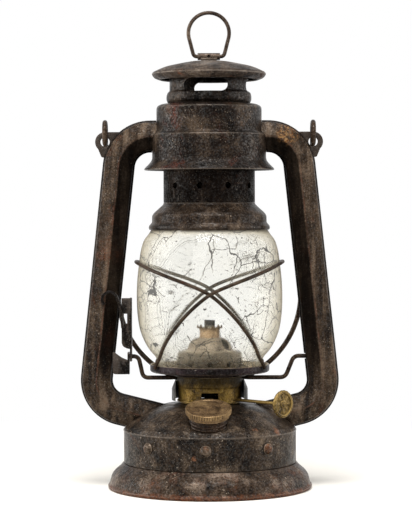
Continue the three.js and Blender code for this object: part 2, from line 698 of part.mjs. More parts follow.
const ringRadius = 12.5;
const ringRise = 14.3;
const ringCorner = 9.2;
const ringTurnIn = 12;
const ringBend = 2;
const ringInset = 4;
const ringSteps = 14;
const ringCentre = ringPivot + ringRise;
const ringEnds = (side) => [
  [side * (bracketLength / 2 - ringInset), 0, ringPivot],
  [side * ringCorner, 0, ringPivot],
  [side * ringRadius * Math.cos(ringTurnIn * degree), 0,
    ringCentre - ringRadius * Math.sin(ringTurnIn * degree)],
];
add('lift_ring', wire([
  ...roundedRun(ringEnds(1), ringBend, wireBendSteps).slice(0, -1),
  ...arcPoints([0, 0, ringCentre], alongX, alongZ, ringRadius, -ringTurnIn, 180 + ringTurnIn, ringSteps),
  ...roundedRun(ringEnds(-1), ringBend, wireBendSteps).reverse().slice(1),
], ringWireRadius), wornSteel);

// Collar: the fixed air chamber round the sleeve
const collarRadius = 35;
const collarSkirtRadius = 40.1;
const collarNeckRadius = 32.3;
const collarHeight = 40.1;
const collarSkirt = 7.3;
const collarStep = 21.1;
const collarStepRise = 3.2;
const collarShoulder = 3;
const collarClearance = 0.6;
const skirtShares = [[1, 0], [0.93, 0.13], [0.41, 0.48], [0.09, 0.75], [0, 1]];
const stepShares = [[1, 0], [0.73, 0.34], [0.09, 0.63], [0, 1]];
const shoulderShares = [[1, 0], [0.93, 0.5], [0.6, 0.93], [0, 1]];
const collarTop = galleryFoot - gap;
const collarFoot = collarTop - collarHeight;
const collarLine = [
  ...spread(skirtShares, [collarRadius, collarSkirtRadius], [collarFoot, collarFoot + collarSkirt]),
  ...spread(stepShares, [collarNeckRadius, collarRadius],
    [collarFoot + collarStep, collarFoot + collarStep + collarStepRise]),
  ...spread(shoulderShares, [sleeveRadius + collarClearance, collarNeckRadius],
    [collarTop - collarShoulder, collarTop]),
];

// Side tubes: a ridged section that leaves the collar, runs down and turns in to the dome
const tubeWidth = 19.7;
const tubeDepth = 14;
const tubeWall = 0.8;
const tubeSectionShares = [[1, 0.17], [0.87, 0.51], [0, 1], [-0.87, 0.51], [-1, 0.17]];
const jointRise = 20.2;
const tubeTopReach = 53.6;
const tubeFootReach = 71.4;
const tubeFootRise = 0.3;
const tubeFootFall = 14.2;
const tubeFootRun = 43;
const tubeTopBend = 19.5;
const tubeFootBend = 18.5;
const bendSteps = 6;
const jointHeight = collarFoot + jointRise;
const tubeFootHeight = domeTop + tubeFootRise;
function tubeSection(inset) {
  const [halfWidth, halfDepth] = [tubeWidth / 2 - inset, tubeDepth / 2 - inset];
  const upper = tubeSectionShares.map(([a, b]) => [a * halfWidth, b * halfDepth]);
  return [...upper, ...upper.map(([x, y]) => [-x, -y])];
}
function sideTube(inset, extra) {
  const run = tubeFootRun + extra;
  const corners = [
    [sleeveRadius + overrun - extra, 0, jointHeight],
    [tubeTopReach, 0, jointHeight],
    [tubeFootReach, 0, tubeFootHeight],
    [tubeFootReach - run * Math.cos(tubeFootFall * degree), 0,
      tubeFootHeight - run * Math.sin(tubeFootFall * degree)],
  ];
  return swept(tubeSection(inset), roundedRun(corners, [tubeTopBend, tubeFootBend], bendSteps));
}
const tubeBore = sideTube(tubeWall, overrun / 2);
add('collar', cut(turnedShell(collarLine, sheet), tubeBore, mirroredX(tubeBore)), steel);

// The lift crank's far end turns in a hole in the right tube
const legSlope = (tubeFootReach - tubeTopReach) / (jointHeight - tubeFootHeight);
const legAt = (height) => tubeTopReach + (jointHeight - height) * legSlope;
const crankEntry = 2;
const crankEnd = legAt(crankHeight) - tubeWidth / 2 + crankEntry;
const crankHole = bar(crankWireRadius + bearingGap, crankEnd - tubeDepth, crankEnd + gap)
  .rotateY(quarterTurn).translate(0, 0, crankHeight);
const collarBlock = turnedBlock(movedLine(collarLine, -gap), wideSides);
const tubeShell = cut(sideTube(0, 0), tubeBore, collarBlock, fountBlock(gap));
add('side_tube_left', mirroredX(tubeShell), steel);
add('side_tube_right', cut(tubeShell, crankHole), steel);

// Ears: flat tabs on the outer seams of the tubes
const earThickness = 1.4;
const earHole = 2.85;
const earRadius = 6.1;
const earOut = 10.3;
const earDrop = 3.3;
const earSteps = 8;
const earX = tubeTopReach + earOut;
const earZ = jointHeight - earDrop;
const earInner = tubeTopReach;
const earFootReach = 2.2;
const earFootDrop = 9.5;
const arcPair = (x, z, radius, from, to, count) => arcPoints(
  [x, 0, z], alongX, alongZ, radius, from, to, count).map((point) => [point.x, point.z]);
const earOutline = [
  [earInner, earZ + earRadius],
  ...arcPair(earX, earZ, earRadius, 90, -45, earSteps),
  [earX + earFootReach, earZ - earFootDrop],
  [earInner, earZ - earFootDrop],
];
const ear = cut(
  standingPlate(earOutline.reverse(), -earThickness / 2, earThickness,
    [arcPair(earX, earZ, earHole, 0, 360 - 360 / smallSides, smallSides - 1)]),
  sideTube(-gap, 0));
add('bail_ear_right', ear, steel);
add('bail_ear_left', mirroredX(ear), steel);

// Bail: an open eye through each ear, straight legs behind the tubes and a round bow
const bailWireRadius = 1.5;
const eyeRadius = 6.5;
const eyeEnd = 296;
const eyeSteps = 18;
const bowSteps = 20;
const bailHalfWidth = 57;
const bailDrop = 19.4;
const legStand = 8.9;
const eyeHeight = earZ - earHole + gap + bailWireRadius + eyeRadius;
const bailBottom = crankHeight - bailDrop;
const bowTop = bailBottom + bailHalfWidth;
const bailLean = guardRadius + gap + bailWireRadius;
const bowY = (height) => bailLean + ((legStand - bailLean) * (height - bailBottom))
  / (eyeHeight - 2 * eyeRadius - bailBottom);
function bailHalf(side) {
  const eye = arcPoints([side * earX, 0, eyeHeight], alongY, alongZ, eyeRadius, eyeEnd, 0, eyeSteps);
  const legTop = eyeHeight - 2 * eyeRadius;
  return [...eye,
    new THREE.Vector3(side * earX, (eyeRadius + legStand) / 2, eyeHeight - eyeRadius),
    new THREE.Vector3(side * earX, legStand, legTop),
    new THREE.Vector3(side * bailHalfWidth, bowY(bowTop), bowTop)];
}
const bow = arcPoints([0, 0, bowTop], alongX, alongZ, bailHalfWidth, 180, 360, bowSteps)
  .map((point) => point.setY(bowY(point.z)));
add('bail', wire([...bailHalf(-1), ...bow.slice(1, -1), ...bailHalf(1).reverse()], bailWireRadius), steel);

// Lift crank: one wire from the lever bracket, under the plate, round the back of the burner
const crankLeftEnd = -50.6;
const crankLeftTop = -43.9;
const crankLeftFoot = -41;
const crankRightTop = 51.8;
const crankRightFoot = 46.5;
const crankBend = 4;
const bowClearance = 1.1;
const bowRadius = drumRadius + crankWireRadius + bowClearance;
const crankLow = crankHeight - crankDrop;
const bowStart = 25;
const crankBowSteps = 10;
const bowFirst = [bowRadius * Math.cos(bowStart * degree), bowRadius * Math.sin(bowStart * degree)];
const crankLeft = roundedRun([
  [crankLeftEnd, 0, crankHeight], [crankLeftTop, 0, crankHeight], [crankLeftFoot, 0, crankLow],
  [-bowRadius, 0, crankLow], [-bowFirst[0], bowFirst[1], crankLow]], crankBend, wireBendSteps);
const crankRight = roundedRun([
  [crankEnd, 0, crankHeight], [crankRightTop, 0, crankHeight], [crankRightFoot, 0, crankLow],
  [bowRadius, 0, crankLow], [bowFirst[0], bowFirst[1], crankLow]], crankBend, wireBendSteps);
const crankBow = arcPoints(
  [0, 0, crankLow], alongX, alongY, bowRadius, 180 - bowStart, bowStart, crankBowSteps);
const crankRun = [...crankLeft, ...crankBow.slice(1, -1), ...crankRight.reverse()];
add('lift_crank', wire(crankRun, crankWireRadius), steel);

// Lever bracket: a plate on the left tube with a lug for the crank's near end
const bracketSheet = 1.2;
const bracketFaceY = -5.2;
const bracketDrop = 10.7;
const lugX = -49.9;
const bracketReach = 59.6;
const bracketTopRise = 3.7;
const lugRise = 2.6;
const bracketBottom = crankHeight - bracketDrop;
const bracketTopHeight = crankHeight + bracketTopRise;
const lugTop = crankHeight + lugRise;
const lugBack = 3;
const bracketTopShares = [[0, 1], [0.28, 0.86], [0.6, 0.7], [1, 0.6]];
const bracketTopLine = spread(bracketTopShares, [-bracketReach, lugX], [bracketBottom, bracketTopHeight]);
const bracketPlate = standingPlate(
  [[-bracketReach, bracketBottom], [lugX, bracketBottom], ...bracketTopLine.reverse()],
  bracketFaceY, bracketSheet);
const lugHeight = lugTop - bracketBottom;
const lugDepth = lugBack - bracketFaceY;
const bracketLug = box(bracketSheet, lugDepth, lugHeight,
  lugX, bracketFaceY + lugDepth / 2, bracketBottom + lugHeight / 2);
const crankBore = bar(crankWireRadius + bearingGap, crankLeftEnd - overrun, crankLeftTop)
  .rotateY(quarterTurn).translate(0, 0, crankHeight);
add('lever_bracket', cut(join(bracketPlate, bracketLug), crankBore), steel);

// Lift lever: a channel on the crank with a window, and a thumb hook in front of the tube
const leverSheet = 1.2;
const leverWebX = lugX + bracketSheet / 2 + gap + leverSheet / 2;
const leverFaceY = -5.2;
const leverLeft = -54;
const leverRise = 36.1;
const leverFootRise = 4.7;
const leverBack = 2.4;
const leverPivotDrop = 2.8;
const leverTop = crankHeight + leverRise;
const leverFoot = crankHeight + leverFootRise;
const leverWindow = { left: -52.6, right: -50.6, low: crankHeight + 20.5, high: crankHeight + 26.5 };
const leverPlateShares = [[1, 0], [0.55, 0.01], [0.15, 0.05], [0, 0.11], [0, 1], [1, 1]];
const leverPlate = standingPlate(
  spread(leverPlateShares, [leverLeft, leverWebX], [leverFoot, leverTop]).reverse(), leverFaceY, leverSheet,
  [[[leverWindow.left, leverWindow.low], [leverWindow.right, leverWindow.low],
    [leverWindow.right, leverWindow.high], [leverWindow.left, leverWindow.high]]]);
const webFoot = crankHeight - leverPivotDrop;
const webDepth = leverBack - leverFaceY;
const leverWeb = box(leverSheet, webDepth, leverTop - webFoot,
  leverWebX, leverFaceY + webDepth / 2, (webFoot + leverTop) / 2);
const hookStandOff = 0.6;
const hookBackY = -tubeDepth / 2 - hookStandOff;
const hookWidth = 5;
const hookThickness = 1.6;
const hookRoute = [[-53.2, 18.1], [-54, 26.1], [-55.2, 33.1], [-57.3, 38.6], [-60.8, 40.7], [-64.6, 39],
  [-66, 35.3], [-64.4, 32.3]];
const hookSection = [[-hookWidth / 2, -hookThickness / 2], [hookWidth / 2, -hookThickness / 2],
  [hookWidth / 2, hookThickness / 2], [-hookWidth / 2, hookThickness / 2]];
const hook = swept(hookSection, hookRoute.map(
  ([x, rise]) => new THREE.Vector3(x, hookBackY - hookWidth / 2, crankHeight + rise)));
const hookTabHeight = 8;
const hookTabRise = 23.1;
const hookTab = box(leverSheet, leverFaceY - hookBackY + 2 * leverSheet, hookTabHeight,
  leverLeft + leverSheet / 2, (leverFaceY + hookBackY) / 2, crankHeight + hookTabRise);
add('lift_lever', cut(join(leverPlate, leverWeb, hookTab, hook), crankBore), steel);

// Spring: wound round the sleeve, between the chimney's step and the top of the collar
const springWireRadius = 0.7;
const springTurns = 5;
const springSteps = 12;
const springSides = 5;
const springStandOff = 2.6;
const springRadius = sleeveRadius + springStandOff;
const springLow = chimneyStep + gap + springWireRadius;
const springHigh = collarTop - sheet - gap - springWireRadius;
const coil = Array.from({ length: springTurns * springSteps + 1 }, (_, i) => {
  const angle = (i / springSteps) * 2 * Math.PI;
  const rise = i / (springTurns * springSteps);
  return new THREE.Vector3(springRadius * Math.cos(angle), springRadius * Math.sin(angle),
    springLow + (springHigh - springLow) * rise);
});
add('chimney_spring', wire(coil, springWireRadius, springSides), wornSteel);

export default lantern;
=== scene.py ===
import math

import bmesh
import bpy
import numpy as np
from mathutils import Matrix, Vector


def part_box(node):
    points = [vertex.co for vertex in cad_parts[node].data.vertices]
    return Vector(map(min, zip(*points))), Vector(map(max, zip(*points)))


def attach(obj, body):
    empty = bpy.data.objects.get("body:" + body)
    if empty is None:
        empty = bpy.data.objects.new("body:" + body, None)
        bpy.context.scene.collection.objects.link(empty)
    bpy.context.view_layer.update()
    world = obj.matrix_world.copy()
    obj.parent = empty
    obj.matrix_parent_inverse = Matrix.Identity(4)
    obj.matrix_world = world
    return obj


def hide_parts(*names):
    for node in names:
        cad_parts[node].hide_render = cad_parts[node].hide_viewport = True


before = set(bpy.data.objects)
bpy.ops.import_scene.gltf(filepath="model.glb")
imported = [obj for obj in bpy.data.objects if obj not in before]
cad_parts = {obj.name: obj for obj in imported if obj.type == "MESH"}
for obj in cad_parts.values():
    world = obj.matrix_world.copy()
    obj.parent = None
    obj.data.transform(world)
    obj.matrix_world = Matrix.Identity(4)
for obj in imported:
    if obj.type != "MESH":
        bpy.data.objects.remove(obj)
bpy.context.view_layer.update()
mm = 0.001   # every shape below is written in millimetres
seam = 0.35  # how far a fine piece reaches over the small gap that its solid leaves


def linked(name, data):
    thing = bpy.data.objects.new(name, data)
    bpy.context.scene.collection.objects.link(thing)
    return thing


# The camera stands where the photograph was taken from, almost level with the globe
view = {"place": (-2.1, -1218, 173.4), "tiltDown": 1.45, "roll": -0.17, "lens": 139.2, "film": 36, "nearest": 0.01}


def placeCamera():
    lens = bpy.data.cameras.new("photoCamera")
    lens.lens, lens.sensor_width, lens.clip_start = view["lens"], view["film"], view["nearest"]
    camera = linked("photoCamera", lens)
    turn = (Matrix.Rotation(math.radians(90 - view["tiltDown"]), 4, "X")
            @ Matrix.Rotation(math.radians(view["roll"]), 4, "Z"))
    camera.matrix_world = Matrix.Translation([v * mm for v in view["place"]]) @ turn
    bpy.context.scene.camera = camera


placeCamera()
print("camera placed")


# Lines: [radius, height] pairs for turned work, [x, y, z] for wires

# Each corner p turns into p + a t (1 - s)^2 + b t s^2, where a and b point to its neighbours and t is its reach
def soften(points, reach, steps=5, loop=False):
    points = np.asarray(points, float)
    back, ahead = np.roll(points, 1, 0) - points, np.roll(points, -1, 0) - points
    backLength, aheadLength = (np.linalg.norm(v, axis=1, keepdims=True) for v in (back, ahead))
    reach = np.broadcast_to(np.asarray(reach, float).reshape(-1, 1), (len(points), 1))
    t = np.minimum(reach, 0.49 * np.minimum(backLength, aheadLength))
    s = np.linspace(0, 1, steps)[None, :, None]
    rounded = (points[:, None] + (back / backLength * t)[:, None] * (1 - s) ** 2
               + (ahead / aheadLength * t)[:, None] * s ** 2)
    if loop:
        return rounded.reshape(-1, points.shape[1])
    return np.vstack([points[:1], rounded[1:-1].reshape(-1, points.shape[1]), points[-1:]])


def unit(vectors):
    return vectors / np.linalg.norm(vectors, axis=-1, keepdims=True)


# A line moved sideways by a distance, to the left of its travel, along the mitre at each corner
def moved(line, distance):
    line = np.asarray(line, float)
    step = np.diff(line, axis=0)
    normal = unit(np.stack([-step[:, 1], step[:, 0]], 1))
    before, after = np.vstack([normal[:1], normal]), np.vstack([normal, normal[-1:]])
    spread = 1 + (before * after).sum(1, keepdims=True)
    return line + distance * (before + after) / spread


# Shares of a pair of radii and a pair of heights
def between(shares, radii, heights):
    first, last = np.transpose([radii, heights])
    return first + (last - first) * np.asarray(shares, float)


# Four corners of a ring's section
def band(inner, outer, low, high):
    return [[inner, low], [outer, low], [outer, high], [inner, high]]


# Lowest and highest level of a CAD node, in millimetres, grown where a seam should close
def levels(node, below=0.0, above=0.0):
    low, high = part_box(node)
    return low[2] / mm - below, high[2] / mm + above


# Points of an arc: centre + radius (cos a across + sin a along)
def arc(centre, across, along, radius, first, last, count):
    a = np.radians(np.linspace(first, last, count))[:, None]
    return np.asarray(centre) + radius * (np.cos(a) * np.asarray(across) + np.sin(a) * np.asarray(along))


def circle(radius, sides):
    angle = np.linspace(0, 2 * np.pi, sides, endpoint=False)
    return radius * np.stack([np.cos(angle), np.sin(angle)], 1)


# A pair of coordinates turned by an angle
def spun(first, second, degrees):
    a = math.radians(degrees)
    return first * math.cos(a) - second * math.sin(a), first * math.sin(a) + second * math.cos(a)


# Meshes

# Four corners for each cell of a grid whose columns run round, and its rows too where they close
def cells(rows, columns, closeRows=False):
    row, column = np.meshgrid(np.arange(rows if closeRows else rows - 1), np.arange(columns), indexing="ij")
    nextRow, nextColumn = (row + 1) % rows, (column + 1) % columns
    return np.stack([row * columns + column, row * columns + nextColumn,
                     nextRow * columns + nextColumn, nextRow * columns + column], -1).reshape(-1, 4)


# The cells of a row of rings, closed by the first and the last ring
def capped(rings, count):
    last = (rings - 1) * count
    return cells(rings, count).tolist() + [list(range(count)), list(range(last, last + count))]


def meshPiece(name, points, faces):
    mesh = bpy.data.meshes.new(name)
    mesh.from_pydata((np.asarray(points).reshape(-1, 3) * mm).tolist(), [], [list(f) for f in faces])
    work = bmesh.new()
    work.from_mesh(mesh)
    bmesh.ops.remove_doubles(work, verts=work.verts, dist=2e-7)
    bmesh.ops.dissolve_degenerate(work, edges=work.edges, dist=2e-7)
    bmesh.ops.recalc_face_normals(work, faces=work.faces)
    work.to_mesh(mesh)
    work.free()
    return linked(name, mesh)


# A profile turned about the Z axis: x = r sin a, y = -r cos a, with a from the front
def turned(name, profile, sides, loop=True, shape=None):
    angle = np.linspace(0, 2 * np.pi, sides, endpoint=False)[None, :]
    radius, level = profile[:, :1], profile[:, 1:]
    points = np.stack([radius * np.sin(angle), -radius * np.cos(angle), level + 0 * angle], -1)
    return meshPiece(name, shape(points) if shape else points, cells(len(profile), sides, closeRows=loop))


# Closed outline of a sheet with its wall to the left of the line, with softened corners and lips
def sheetOutline(line, wall, reach, steps=5):
    lip = wall * 0.42
    reach = np.broadcast_to(np.asarray(reach, float), len(line)).copy()
    reach[[0, -1]] = lip
    return soften(np.vstack([line, moved(line, wall)[::-1]]), np.concatenate([reach, reach[::-1]]), steps, loop=True)


# Outline of a sheet that closes on the axis at one or both of its ends
def closedOutline(line, wall):
    outline = np.vstack([moved(line, wall)[::-1], line])
    outline[0, 0] = outline[-1, 0] = 0
    return outline


# A flat section carried along a path: point = path + u across + v up, with the frame carried on step by step
def carried(name, section, path, up=None, thickness=1.0, hollow=None):
    section, path = np.asarray(section, float), np.asarray(path, float)
    tangent = unit(np.gradient(path, axis=0))
    if up is None:
        ups = [unit(np.cross(tangent[0], (0, 0, 1) if abs(tangent[0][2]) < 0.8 else (0, 1, 0)))]
        for direction in tangent[1:]:
            ups.append(unit(ups[-1] - direction * ups[-1].dot(direction)))
        ups = np.array(ups)
    else:
        ups = np.broadcast_to(np.asarray(up, float), path.shape)
    across = np.cross(ups, tangent)
    scale = np.broadcast_to(thickness, len(path))
    points = [path[:, None] + (across[:, None] * ring[None, :, :1] + ups[:, None] * ring[None, :, 1:])
              * scale[:, None, None] for ring in ([section] if hollow is None else [section, hollow])]
    count, last, offset = len(section), (len(path) - 1) * len(section), len(path) * len(section)
    if hollow is None:
        return meshPiece(name, points[0], capped(len(path), count))
    k = np.arange(count)
    lips = [np.stack([k + end, (k + 1) % count + end, (k + 1) % count + end + offset, k + end + offset], 1)
            for end in (0, last)]
    grid = cells(len(path), count)
    return meshPiece(name, np.vstack([p.reshape(-1, 3) for p in points]), np.vstack([grid, grid + offset, *lips]))


# A round wire with its ends rounded over
def wire(name, path, radius, sides=16):
    path = np.asarray(path, float)
    lengths = np.concatenate([[0], np.cumsum(np.linalg.norm(np.diff(path, axis=0), axis=1))])
    tips = radius * np.array([0.001, 0.12, 0.35, 0.7, 1.0])
    middle = lengths[(lengths > radius) & (lengths < lengths[-1] - radius)]
    stations = np.unique(np.concatenate([tips, middle, lengths[-1] - tips]))
    fine = np.stack([np.interp(stations, lengths, path[:, i]) for i in range(3)], 1)
    inward = np.clip(np.minimum(stations, lengths[-1] - stations) / radius, 0, 1)
    return carried(name, circle(radius, sides), fine, thickness=np.sqrt(1 - (1 - inward) ** 2) + 0.02)


# An outline of [x, z] pairs that stands in the XZ plane between two depths
def standing(name, outline, front, back):
    outline = np.asarray(outline, float)
    points = [np.insert(outline, 1, y, axis=1) for y in (front, back)]
    return meshPiece(name, np.vstack(points), capped(2, len(outline)))


def rod(name, radius, start, end, sides=32):
    return carried(name, circle(radius, sides), np.linspace(start, end, 3))


def brick(name, low, high, shape=None):
    corner = np.array([[x, y, z] for x in (0, 1) for y in (0, 1) for z in (0, 1)], float)
    points = np.asarray(low) + corner * (np.asarray(high) - np.asarray(low))
    return meshPiece(name, shape(points) if shape else points,
                     [(0, 1, 3, 2), (4, 6, 7, 5), (0, 4, 5, 1), (2, 3, 7, 6), (0, 2, 6, 4), (1, 5, 7, 3)])


# Writes a piece's modifiers into its mesh
def applied(piece):
    bpy.context.view_layer.update()
    result = bpy.data.meshes.new_from_object(piece.evaluated_get(bpy.context.evaluated_depsgraph_get()))
    piece.modifiers.clear()
    old, piece.data = piece.data, result
    bpy.data.meshes.remove(old)
    return piece


# Takes the cutters away from the piece, or adds them to it, and deletes them
def combined(piece, cutters, operation="DIFFERENCE"):
    for cutter in cutters:
        change = piece.modifiers.new("cut", "BOOLEAN")
        change.operation, change.object, change.solver = operation, cutter, "EXACT"
    applied(piece)
    for cutter in cutters:
        bpy.data.objects.remove(cutter)
    return piece


def softEdges(piece, width, segments=3):
    bevel = piece.modifiers.new("softEdges", "BEVEL")
    bevel.width, bevel.segments = width * mm, segments
    bevel.limit_method, bevel.angle_limit = "ANGLE", math.radians(40)
    return applied(piece)


# Joins closed meshes in one object
def together(name, *parts):
    work = bmesh.new()
    for part in parts:
        work.from_mesh(part.data)
        bpy.data.objects.remove(part)
    mesh = bpy.data.meshes.new(name)
    work.to_mesh(mesh)
    work.free()
    return linked(name, mesh)


def vertexData(mesh, key):
    data = np.empty(len(mesh.vertices) * 3)
    mesh.vertices.foreach_get(key, data)
    return data.reshape(-1, 3)


def mark(mesh, name, values):
    mesh.attributes.new(name, "FLOAT", "POINT").data.foreach_set("value", values.astype(np.float32))


# How sharply the surface turns outward at a vertex p with normal n:
# the mean of 2 n.(p - q) / |p - q|^2 over its neighbours q, times the tightest radius that still wears
def markWear(mesh, tightRadius, plate):
    count, place, normal = len(mesh.vertices), vertexData(mesh, "co"), vertexData(mesh, "normal")
    ends = np.empty(len(mesh.edges) * 2, int)
    mesh.edges.foreach_get("vertices", ends)
    ends = ends.reshape(-1, 2)
    a, b = np.concatenate([ends, ends[:, ::-1]]).T
    offset = place[a] - place[b]
    bend = 2 * (normal[a] * offset).sum(1) / np.maximum((offset ** 2).sum(1), 1e-12)
    total = np.bincount(a, weights=np.clip(bend, -9000, 9000), minlength=count)
    neighbours = np.maximum(np.bincount(a, minlength=count), 1)
    wear = np.clip(total / neighbours * tightRadius * mm, 0, 1)
    if plate:   # its flat faces have no corners inside, so the wear stays on the rounded rim
        wear = np.clip(2 * wear - 1, 0, 1)
    for _ in range(0 if plate else 2):   # spreads it a little to both sides
        wear = 0.5 * wear + 0.5 * np.bincount(a, weights=wear[b], minlength=count) / neighbours
    mark(mesh, "wear", wear)


paints = {}
sharpTurn = math.radians(38)   # an edge that turns further is drawn sharp


def finished(piece, paint, body, node, tightRadius=1.0, plate=False):
    mesh = piece.data
    work = bmesh.new()
    work.from_mesh(mesh)
    for edge in work.edges:
        edge.smooth = not edge.is_manifold or edge.calc_face_angle(0) < sharpTurn
    work.to_mesh(mesh)
    work.free()
    mesh.polygons.foreach_set("use_smooth", np.ones(len(mesh.polygons), bool))
    markWear(mesh, tightRadius, plate)
    mesh.materials.clear()
    mesh.materials.append(paints[paint])
    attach(piece, body)
    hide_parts(node)
    return mesh


# Materials

def colour(code):
    parts = [int(code[i:i + 2], 16) / 255 for i in (0, 2, 4)]
    return [v / 12.92 if v <= 0.04045 else ((v + 0.055) / 1.055) ** 2.4 for v in parts] + [1.0]


# What a node gives at each point, with further nodes for its sums and products
class Value:
    def __init__(self, recipe, socket):
        self.recipe, self.socket = recipe, socket

    def __add__(self, other):
        return self.recipe.math("ADD", self, other)

    def __sub__(self, other):
        return self.recipe.math("SUBTRACT", self, other)

    def __rsub__(self, other):
        return self.recipe.math("SUBTRACT", other, self)

    def __mul__(self, other):
        return self.recipe.math("MULTIPLY", self, other)


# One node tree, with short calls for the nodes that the finishes below use
class Recipe:
    def __init__(self, owner):
        owner.use_nodes = True
        self.owner, self.tree = owner, owner.node_tree
        self.place = self.made("TexCoord", "Object")

    def feed(self, node, inputs):
        for key, value in inputs.items():
            if isinstance(value, Value):
                self.tree.links.new(value.socket, node.inputs[key])
            else:
                node.inputs[key].default_value = colour(value) if isinstance(value, str) else value

    # One output of a new node
    def made(self, kind, output=0, inputs=(), **settings):
        node = self.tree.nodes.new("ShaderNode" + kind)
        for key, value in settings.items():
            setattr(node, key, value)
        self.feed(node, dict(inputs))
        return Value(self, node.outputs[output])

    # The first output of a node that the tree has from the start
    def kept(self, name, inputs):
        self.feed(self.tree.nodes[name], inputs)
        return Value(self, self.tree.nodes[name].outputs[0])

    def shade(self, inputs):
        return self.kept("Principled BSDF", inputs)

    def surface(self, value, output="Material Output"):
        self.feed(self.tree.nodes[output], {"Surface": value})

    def blend(self, share, first, second):
        return self.made("MixShader", 0, {0: share, 1: first, 2: second})

    def stretched(self, scale, shift=(0, 0, 0)):
        return self.made("Mapping", 0, {"Vector": self.place, "Scale": scale, "Location": shift})

    def noise(self, scale, detail=4, roughness=0.55, distortion=0, place=None, output="Fac"):
        return self.made("TexNoise", output, {"Vector": place or self.place, "Scale": scale, "Detail": detail,
                                              "Roughness": roughness, "Distortion": distortion})

    def voronoi(self, scale, feature="F1", place=None):
        return self.made("TexVoronoi", "Distance", {"Vector": place or self.place, "Scale": scale}, feature=feature)

    def step(self, value, low, high, first=0, last=1):
        return self.made("MapRange", "Result", {"Value": value, "From Min": low, "From Max": high, "To Min": first,
                                                "To Max": last}, interpolation_type="SMOOTHSTEP")

    def math(self, operation, a, b=0.0, clamp=False):
        return self.made("Math", 0, {0: a, 1: b}, operation=operation, use_clamp=clamp)

    def most(self, first, *others):
        for other in others:
            first = self.math("MAXIMUM", first, other)
        return first

    def ramp(self, value, positions, codes):
        ramp = self.made("ValToRGB", "Color", {"Fac": value})
        marks = ramp.socket.node.color_ramp.elements
        while len(marks) < len(codes):
            marks.new(0.5)
        for entry, position, code in zip(marks, positions, codes):
            entry.position, entry.color = position, colour(code)
        return ramp

    def mix(self, share, first, second):
        return self.made("Mix", 2, {"Factor": share, 6: first, 7: second}, data_type="RGBA")

    def attribute(self, name):
        return self.made("Attribute", "Fac", attribute_name=name)

    def axis(self, name):
        return self.made("SeparateXYZ", name, {0: self.place})

    # 1 at a point given in millimetres, falling to 0 at its reach
    def near(self, point, reach):
        away = self.made("VectorMath", "Value", {0: self.place, 1: [v * mm for v in point]}, operation="DISTANCE")
        return self.step(away, 0, reach * mm, 1, 0)

    def bump(self, height, depth, strength=1.0, **after):
        return self.made("Bump", "Normal", {"Height": height, "Distance": depth * mm, "Strength": strength, **after})


# Colours run from dark to light; pairs in metres or shares say where a mask begins and where it is full
plainMetal = {
    "tones": "060403 1b140f 45392f", "spread": (0.36, 0.53, 0.72), "blotch": 70, "streaks": 0.25, "grain": 0.5,
    "rust": "3a2116 6a3c24", "rustScale": 70, "rustFrom": (0.60, 0.74), "rustShare": 0.6,
    "speck": "9c8f80", "speckFrom": (0.66, 0.70), "speckShare": 0.55, "speckScale": 1300,
    "worn": "665b50", "wornFrom": (0.40, 0.85), "wornShare": 0.4,
    "roughness": (0.28, 0.48), "gloss": (0.03, 0.42), "metallic": 0.16, "bump": 0.2,
    "lee": None, "upper": None, "inside": None, "spots": (), "foot": None,
}
# The side of a tube that faces the globe gets a painted shade of near-black, down to where it turns in; its rolled
# edges get painted shade as well, its ridge a broken lighter line that is partly wear and partly painted highlight, and
# the right tube a tan stain
leeLook = {"sootAndShade": "070504", "sootAndShadeFrom": (0.03, 0.12), "paintedShadeShare": 0.85, "levels": (0.058, 0.085),
           "flange": "0c0908", "flangeFrom": (0.86, 0.91), "flangeShare": 0.75,
           "ridge": "5a3d30", "ridgeFrom": (0.07, 0.02),
           "patch": "6d4527 a07a4a", "patchAt": ((48.5, -7, 218), 11), "patchShare": 0.6}
footRust = ("3a1f14", "6a3d24")
unevenRim = 0.006   # how far the edge of soot and foot rust wanders, in metres


# Painted shade on a tube: near-black on the side towards the globe and along the rolled edges, a lighter ridge line
# that is partly painted highlight, and a real tan stain
def paintedShadeOnLee(recipe, finish):
    look, noise, step, mix = leeLook, recipe.noise, recipe.step, recipe.mix
    across = recipe.attribute("across")
    offRidge = recipe.math("ABSOLUTE", across)
    # mask of the painted shade on the side towards the globe
    paintedLeeShade = step(across, *look["sootAndShadeFrom"], 0, look["paintedShadeShare"]) * step(recipe.axis("Z"), *look["levels"])
    finish = mix(paintedLeeShade, finish, look["sootAndShade"])
    # painted shade along the rolled edges, where they turn away from the light
    finish = mix(step(offRidge, *look["flangeFrom"], 0, look["flangeShare"]), finish, look["flange"])
    # a broken lighter line along the ridge: partly wear, partly painted highlight
    brokenLine = step(noise(90, 5, 0.7), 0.48, 0.66, 0.1, 0.6)
    finish = mix(step(offRidge, *look["ridgeFrom"]) * brokenLine, finish, look["ridge"])
    patch = (step(recipe.near(*look["patchAt"]), 0.05, 0.6)
             * step(noise(380, 6, 0.85), 0.46, 0.58, 0, look["patchShare"]))
    return paintedLeeShade, mix(patch, finish, mix(step(noise(800, 2), 0.4, 0.6), *look["patch"].split()))


